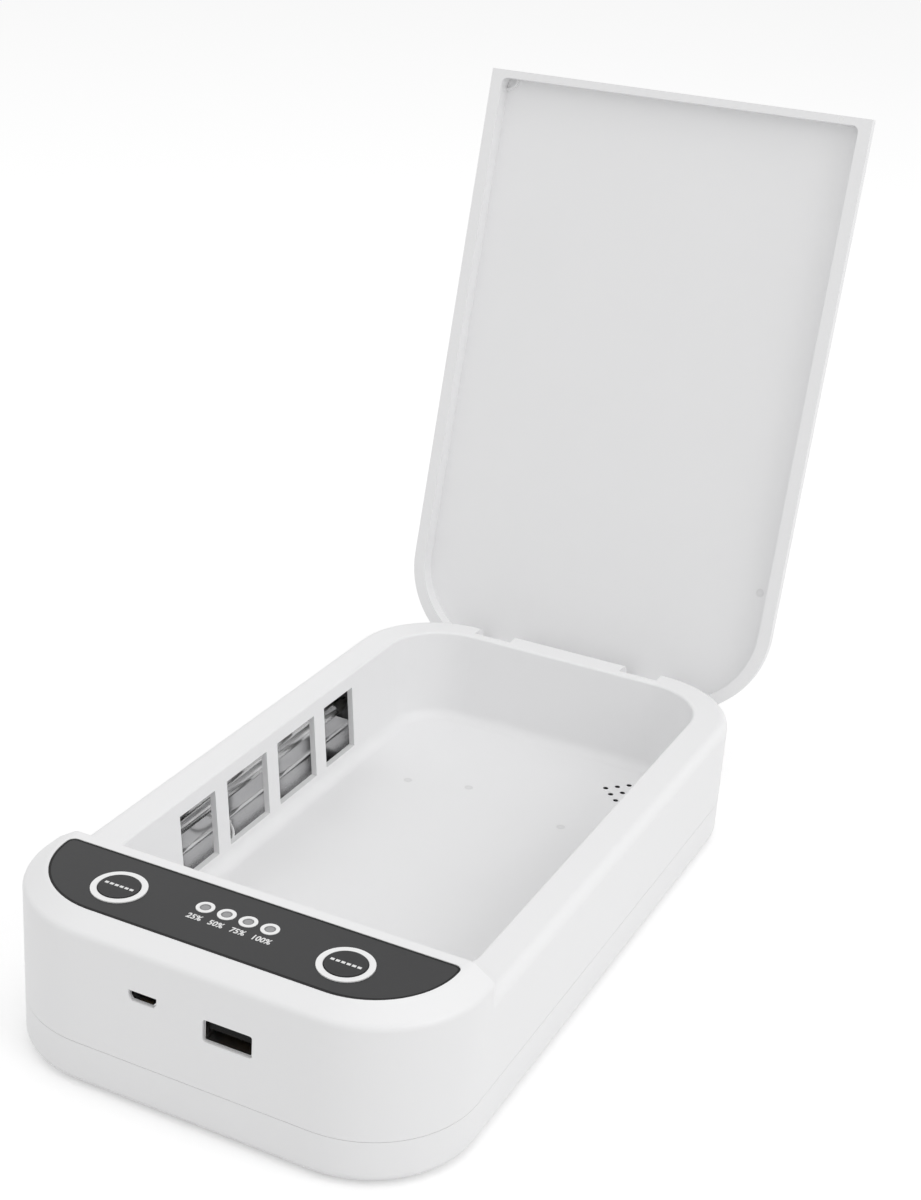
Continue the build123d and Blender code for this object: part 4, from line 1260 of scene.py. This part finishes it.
@dataclass
class Boards:
    """The two boards in the nose and what stands on them."""

    finishes: FinishBook
    core_limb: float = 2.6 * MM
    black_nodes: tuple[str, ...] = (
        "board_link",
        "tact_switch_left",
        "tact_switch_right",
        "switch_plunger_left",
        "switch_plunger_right",
        "lid_sensor",
    )

    def dress(self) -> None:
        """Give the boards, switches, header, transformer and screws their finishes."""
        green = self.finishes.get("solder_mask", CircuitBoard((0.02, 0.12, 0.05)))
        plastic = MouldedPlastic((0.025, 0.025, 0.025), variation=0.2)
        black = self.finishes.get("switch_black", plastic)
        for node in ("control_board", "main_board"):
            dress_node(node, green)
        for node in self.black_nodes:
            dress_node(node, black)
        low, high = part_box("lamp_transformer")
        centre = tuple((a + b) / 2 for a, b in zip(low, high))
        window = tuple((high[axis] - low[axis]) / 2 - self.core_limb for axis in (0, 2))
        core = Ferrite((0.05, 0.05, 0.055), (0.55, 0.22, 0.07), centre, window)
        dress_node("lamp_transformer", self.finishes.get("ferrite_core", core))
        dress_node("board_screws", self.finishes.get("screw_steel", SCREW_STEEL))


@dataclass(frozen=True)
class ContactRow:
    """Flat contacts under the tongue of one socket."""

    socket: str
    count: int
    width: float
    pitch: float
    tongue_top: float
    tongue_thickness: float
    thickness: float = 0.12 * MM
    tip_gap: float = 0.5 * MM
    back_gap: float = 2.0 * MM
    edge: float = 0.03 * MM

    def build(self, shape: bmesh.types.BMesh) -> None:
        """Lay the contacts from near the tongue's tip to the back of the socket.

        Args:
            shape: bmesh that the contacts are added to.
        """
        low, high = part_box(f"{self.socket}_insulator")
        under = high[2] - self.tongue_top - self.tongue_thickness
        middle = (low[0] + high[0]) / 2
        for index in range(self.count):
            x = middle + (index - (self.count - 1) / 2) * self.pitch
            front = (x - self.width / 2, low[1] + self.tip_gap, under - self.thickness)
            rear = (x + self.width / 2, high[1] - self.back_gap, under)
            slab(shape, front, rear, self.edge)


@dataclass
class Sockets:
    """The two charging sockets in the front wall."""

    finishes: FinishBook
    rows: tuple[ContactRow, ...] = (
        ContactRow("usb_a", 4, 1.2 * MM, 2.3 * MM, 0.72 * MM, 1.8 * MM),
        ContactRow("micro_usb", 5, 0.4 * MM, 0.7 * MM, 0.35 * MM, 0.7 * MM),
    )
    contacts: list[Piece] = field(default_factory=list)

    def build(self) -> None:
        """Lay the contacts on the tongues."""
        for row in self.rows:
            mesh = mesh_from(row.build)
            self.contacts.append(Piece(f"{row.socket}_contacts", "housing", mesh))

    def dress(self) -> None:
        """Give the shells, the mouldings and the contacts their finishes."""
        steel = self.finishes.get("socket_steel", SheetMetal((0.62, 0.62, 0.62), 0.3))
        plastic = MouldedPlastic((0.008, 0.008, 0.008), 0.65, variation=0.2, gloss=0.15)
        black = self.finishes.get("socket_black", plastic)
        gold = self.finishes.get("contact_gold", SheetMetal((0.72, 0.5, 0.22), 0.25))
        for row in self.rows:
            dress_node(f"{row.socket}_shell", steel)
            dress_node(f"{row.socket}_insulator", black)
        for piece in self.contacts:
            piece.dress(gold, "steel")


@dataclass
class LampBay:
    """A lamp, its holders, its reflector and its leads, on one side."""

    finishes: FinishBook
    side: Side
    glass_wall: float = 0.45 * MM
    end_round: float = 1.2 * MM
    bore_round: float = 0.84 * MM
    cup_length: float = 5.0 * MM
    cup_radius: float = 0.9 * MM
    cup_wall: float = 0.15 * MM
    cup_from_end: float = 7.0 * MM
    pin_radius: float = 0.3 * MM
    loop_mm: tuple[Point, ...] = (
        (-50.6, -12.3, 14.6),
        (-51.2, -11.3, 16.2),
        (-52.6, -10.2, 17.0),
        (-54.2, -8.6, 16.8),
        (-55.4, -6.6, 15.8),
        (-56.2, -4.9, 14.7),
    )
    loop_radius: float = 0.45 * MM
    sheet: float = 0.4 * MM
    sheet_bend: float = 1.2 * MM
    fold_top: float = 20.5 * MM
    fold_inset: float = 0.1 * MM
    fold_lean: float = 0.091  # how far the fold's free edge leans outwards, per unit of height
    fold_corner: float = 1.0 * MM
    glass: Optional[Piece] = None
    electrodes: Optional[Piece] = None
    folds: Optional[Piece] = None
    wire_loop: Optional[Piece] = None

    def build(self) -> None:
        """Add the hollow lamp and its electrodes, the sheet's folded ends and the loop of lead."""
        low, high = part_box(f"uv_lamp_{self.side.word}")
        radius = (high[2] - low[2]) / 2
        length = high[1] - low[1]
        centre = Vector(((low[0] + high[0]) / 2, low[1], (low[2] + high[2]) / 2))
        place = Matrix.Translation(centre) @ Matrix.Rotation(-pi / 2, 4, "X")
        mesh = mesh_from(lambda shape: self._tube(shape, radius, length, place))
        self.glass = Piece(f"lamp_tube_{self.side.word}", "housing", mesh).smooth()
        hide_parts(f"uv_lamp_{self.side.word}")
        mesh = mesh_from(lambda shape: self._cups(shape, length, place))
        self.electrodes = Piece(f"lamp_electrodes_{self.side.word}", "housing", mesh).smooth()
        mesh = mesh_from(self._folds)
        self.folds = Piece(f"reflector_folds_{self.side.word}", "housing", mesh)
        if self.side is Side.LEFT:
            points = [tuple(value * MM for value in point) for point in self.loop_mm]
            mesh = bent_wire(points, self.loop_radius)
            self.wire_loop = Piece("lamp_lead_loop", "housing", mesh).smooth()

    def _tube(self, shape: bmesh.types.BMesh, radius: float, length: float, place: Matrix) -> None:
        """Closed tube: its outside and its bore, both with rounded ends.

        Args:
            shape: bmesh that the tube is added to.
            radius: outside radius.
            length: outside length.
            place: placement of its front end, with Z along it.
        """
        wall = self.glass_wall
        for reach, start, end, turn in (
            (radius, 0.0, length, self.end_round),
            (radius - wall, wall, length - wall, self.bore_round),
        ):
            profile = [(0.0, start)]
            for angle in quarter(6):
                profile.append((reach - turn + turn * sin(angle), start + turn - turn * cos(angle)))
            for angle in quarter(6):
                profile.append((reach - turn + turn * cos(angle), end - turn + turn * sin(angle)))
            profile.append((0.0, end))
            lathe(shape, profile, TURNED_STEPS, place)

    def _cups(self, shape: bmesh.types.BMesh, length: float, place: Matrix) -> None:
        """Electrode cups on their lead-in pins.

        Args:
            shape: bmesh that the cups are added to.
            length: outside length of the tube.
            place: placement of its front end, with Z along it.
        """
        flip = place @ Matrix.Translation((0, 0, length)) @ Matrix.Rotation(pi, 4, "X")
        for end in (place, flip):
            start = self.cup_from_end
            stop = start + self.cup_length
            inner = self.cup_radius - self.cup_wall
            profile = [
                (0.0, self.glass_wall),
                (self.pin_radius, self.glass_wall),
                (self.pin_radius, start),
                (self.cup_radius, start + self.cup_wall),
                (self.cup_radius, stop),
                (inner, stop),
                (inner, start + 2 * self.cup_wall),
                (0.0, start + 2 * self.cup_wall),
            ]
            lathe(shape, profile, SMALL_TURNED_STEPS, end)

    def _folds(self, shape: bmesh.types.BMesh) -> None:
        """Ends of the bright sheet, folded up across its trough below the lamp.

        Args:
            shape: bmesh that the folds are added to.
        """
        low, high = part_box(f"reflector_{self.side.word}")
        inward = -self.side.value
        back = (low[0] if self.side is Side.LEFT else high[0]) + inward * self.sheet
        bottom = low[2] + self.sheet
        depth = high[0] - low[0] - self.sheet - self.fold_inset
        slant = self.fold_lean * (self.fold_top - bottom)
        bend, corner = self.sheet_bend, self.fold_corner
        outline = [(bend * (1 - cos(turn)), bottom + bend * (1 - sin(turn))) for turn in quarter(4)]
        outline.append((depth, bottom))
        for turn in quarter(4):
            reach = depth - slant - corner * (1 - cos(turn))
            outline.append((reach, self.fold_top - corner * (1 - sin(turn))))
        outline.append((0.0, self.fold_top))
        for start in (low[1] + self.fold_inset, high[1] - self.fold_inset - self.sheet):
            front, rear = (
                [shape.verts.new((back + inward * reach, y, z)) for reach, z in outline]
                for y in (start, start + self.sheet)
            )
            shape.faces.new(front)
            shape.faces.new(rear)
            bridge(shape, front, rear)

    def dress(self) -> None:
        """Give the glass, silicone, bright sheet and wires their finishes."""
        glass = self.finishes.get("lamp_glass", ClearGlass((0.97, 0.97, 0.97)))
        silicone = self.finishes.get("holder_silicone", Rubber((0.1, 0.1, 0.102)))
        bright = SheetMetal(
            (0.75, 0.75, 0.755),
            roughness=0.15,
            lines=(300.0, 30.0, 6000.0),
            bulge_depth=0.05 * MM,
            bulges_per_metre=30.0,
        )
        mirror = self.finishes.get("bright_sheet", bright)
        wire = self.finishes.get("wire_white", MouldedPlastic((0.8, 0.8, 0.8), 0.5))
        nickel = self.finishes.get("electrode_nickel", SheetMetal((0.5, 0.49, 0.47), 0.3))
        self.glass.dress(glass, "lamp_glass")
        self.electrodes.dress(nickel, "steel")
        dress_node(f"lamp_holders_{self.side.word}", silicone)
        dress_node(f"reflector_{self.side.word}", mirror)
        self.folds.dress(mirror, "reflector_bright")
        dress_node(f"lamp_leads_{self.side.word}", wire)
        if self.wire_loop:
            self.wire_loop.dress(wire, "lead_white")


@dataclass
class AromaCup:
    """Cup under the aroma holes with the pad that holds the scent."""

    finishes: FinishBook

    def dress(self) -> None:
        """Give the cup and the pad their finishes."""
        dress_node("aroma_cup", self.finishes.get("cup_white", MouldedPlastic((0.8, 0.8, 0.8))))
        dress_node("aroma_pad", self.finishes.get("pad_felt", Felt((0.06, 0.06, 0.06))))


# ---- studio -------------------------------------------------------------------------------------
@dataclass(frozen=True)
class SoftLamp:
    """Square area lamp aimed at a point."""

    name: str
    place: Point
    watts: float
    size: float = 1.2
    target: Point = LIT_POINT

    def build(self) -> None:
        """Add the lamp to the scene."""
        data = bpy.data.lights.new(self.name, "AREA")
        data.shape = "SQUARE"
        data.size = self.size
        data.energy = self.watts
        lamp = bpy.data.objects.new(self.name, data)
        bpy.context.scene.collection.objects.link(lamp)
        lamp.location = self.place
        aim = Vector(self.target) - Vector(self.place)
        lamp.rotation_euler = aim.to_track_quat("-Z", "Y").to_euler()


@dataclass(frozen=True)
class StudioCamera:
    """Camera given by its place, turn, tilt, roll and focal length in image rows."""

    place: Point = (0.20897, -0.43255, 0.30499)
    turn: float = 24.66
    tilt: float = 23.31
    roll: float = 3.93
    focal_rows: float = 1966.9
    image_rows: float = 1200.0
    sensor: float = 24.0

    def build(self) -> None:
        """Add the camera and make it the scene's own."""
        turn, tilt, roll = radians(self.turn), radians(self.tilt), radians(self.roll)
        ahead = Vector((-sin(turn) * cos(tilt), cos(turn) * cos(tilt), -sin(tilt)))
        level = Vector((cos(turn), sin(turn), 0.0))
        upward = level.cross(ahead)
        right = cos(roll) * level + sin(roll) * upward
        up = cos(roll) * upward - sin(roll) * level
        data = bpy.data.cameras.new("studio_camera")
        data.sensor_fit = "VERTICAL"
        data.sensor_height = self.sensor
        data.lens = self.focal_rows / self.image_rows * self.sensor
        data.clip_start = 0.01
        camera = bpy.data.objects.new("studio_camera", data)
        bpy.context.scene.collection.objects.link(camera)
        rotation = Matrix((right, up, -ahead)).transposed().to_4x4()
        camera.matrix_world = Matrix.Translation(self.place) @ rotation
        bpy.context.scene.camera = camera


@dataclass
class Studio:
    """White floor, even white surroundings, soft lamps and the camera."""

    floor_size: float = 12.0
    floor_colour: Colour = (0.8, 0.8, 0.8)
    floor_lift: float = 0.32
    surroundings: float = 0.74
    lamps: tuple[SoftLamp, ...] = (
        SoftLamp("side_lamp", (1.5, -0.2, 1.0), 6.5),
        SoftLamp("top_lamp", (0.2, 0.1, 1.9), 4.2),
        SoftLamp("front_lamp", (-0.2, -1.3, 1.5), 1.8),
    )
    camera: StudioCamera = StudioCamera()

    def build(self) -> None:
        """Add all of it."""
        self._floor()
        self._world()
        for lamp in self.lamps:
            lamp.build()
        self.camera.build()

    def _floor(self) -> None:
        """Flat floor that stays white to the eye and keeps the object's shadow."""
        half = self.floor_size / 2
        shape = bmesh.new()
        corners = ((-half, -half), (half, -half), (half, half), (-half, half))
        shape.faces.new([shape.verts.new((x, y, 0.0)) for x, y in corners])
        mesh = mesh_of(shape)
        floor = bpy.data.objects.new("studio_floor", mesh)
        bpy.context.scene.collection.objects.link(floor)
        graph = Graph.material("studio_floor")
        speck = graph.noise(graph.place(), 2.0, 1.0)
        colour = graph.tint(self.floor_colour, scaled(self.floor_colour, 0.99), speck)
        glow = graph.tint((0.0, 0.0, 0.0), (self.floor_lift,) * 3, graph.seen())
        mesh.materials.append(
            graph.finish(
                Base_Color=colour,
                Roughness=0.9,
                Specular_IOR_Level=0.0,
                Emission_Color=glow,
                Emission_Strength=1.0,
            )
        )

    def _world(self) -> None:
        """Even white surroundings: full white to the eye, and at a plain level as light."""
        world = bpy.data.worlds.new("studio_world")
        bpy.context.scene.world = world
        graph = Graph(world)
        inputs = {"Value": graph.seen(), "To Min": self.surroundings, "To Max": 1.0}
        level = graph.signal(graph.add("ShaderNodeMapRange", None, inputs))
        white = {"Color": (1.0, 1.0, 1.0), "Strength": level}
        back = graph.signal(graph.add("ShaderNodeBackground", None, white))
        graph.add("ShaderNodeOutputWorld", None, {"Surface": back})


def main() -> None:
    """Build and dress every sub-assembly, then the studio."""
    logging.basicConfig(level=logging.INFO, format="%(name)s: %(message)s")
    bpy.context.scene.view_settings.view_transform = "Standard"
    finishes = FinishBook()
    housing = Housing(finishes)
    housing.build()
    housing.dress()
    lid = Lid(finishes)
    lid.build()
    lid.dress()
    panel = ControlPanel(finishes)
    panel.build()
    panel.dress()
    Boards(finishes).dress()
    sockets = Sockets(finishes)
    sockets.build()
    sockets.dress()
    for side in Side:
        bay = LampBay(finishes, side)
        bay.build()
        bay.dress()
    AromaCup(finishes).dress()
    Studio().build()


if __name__ == "__main__":
    main()
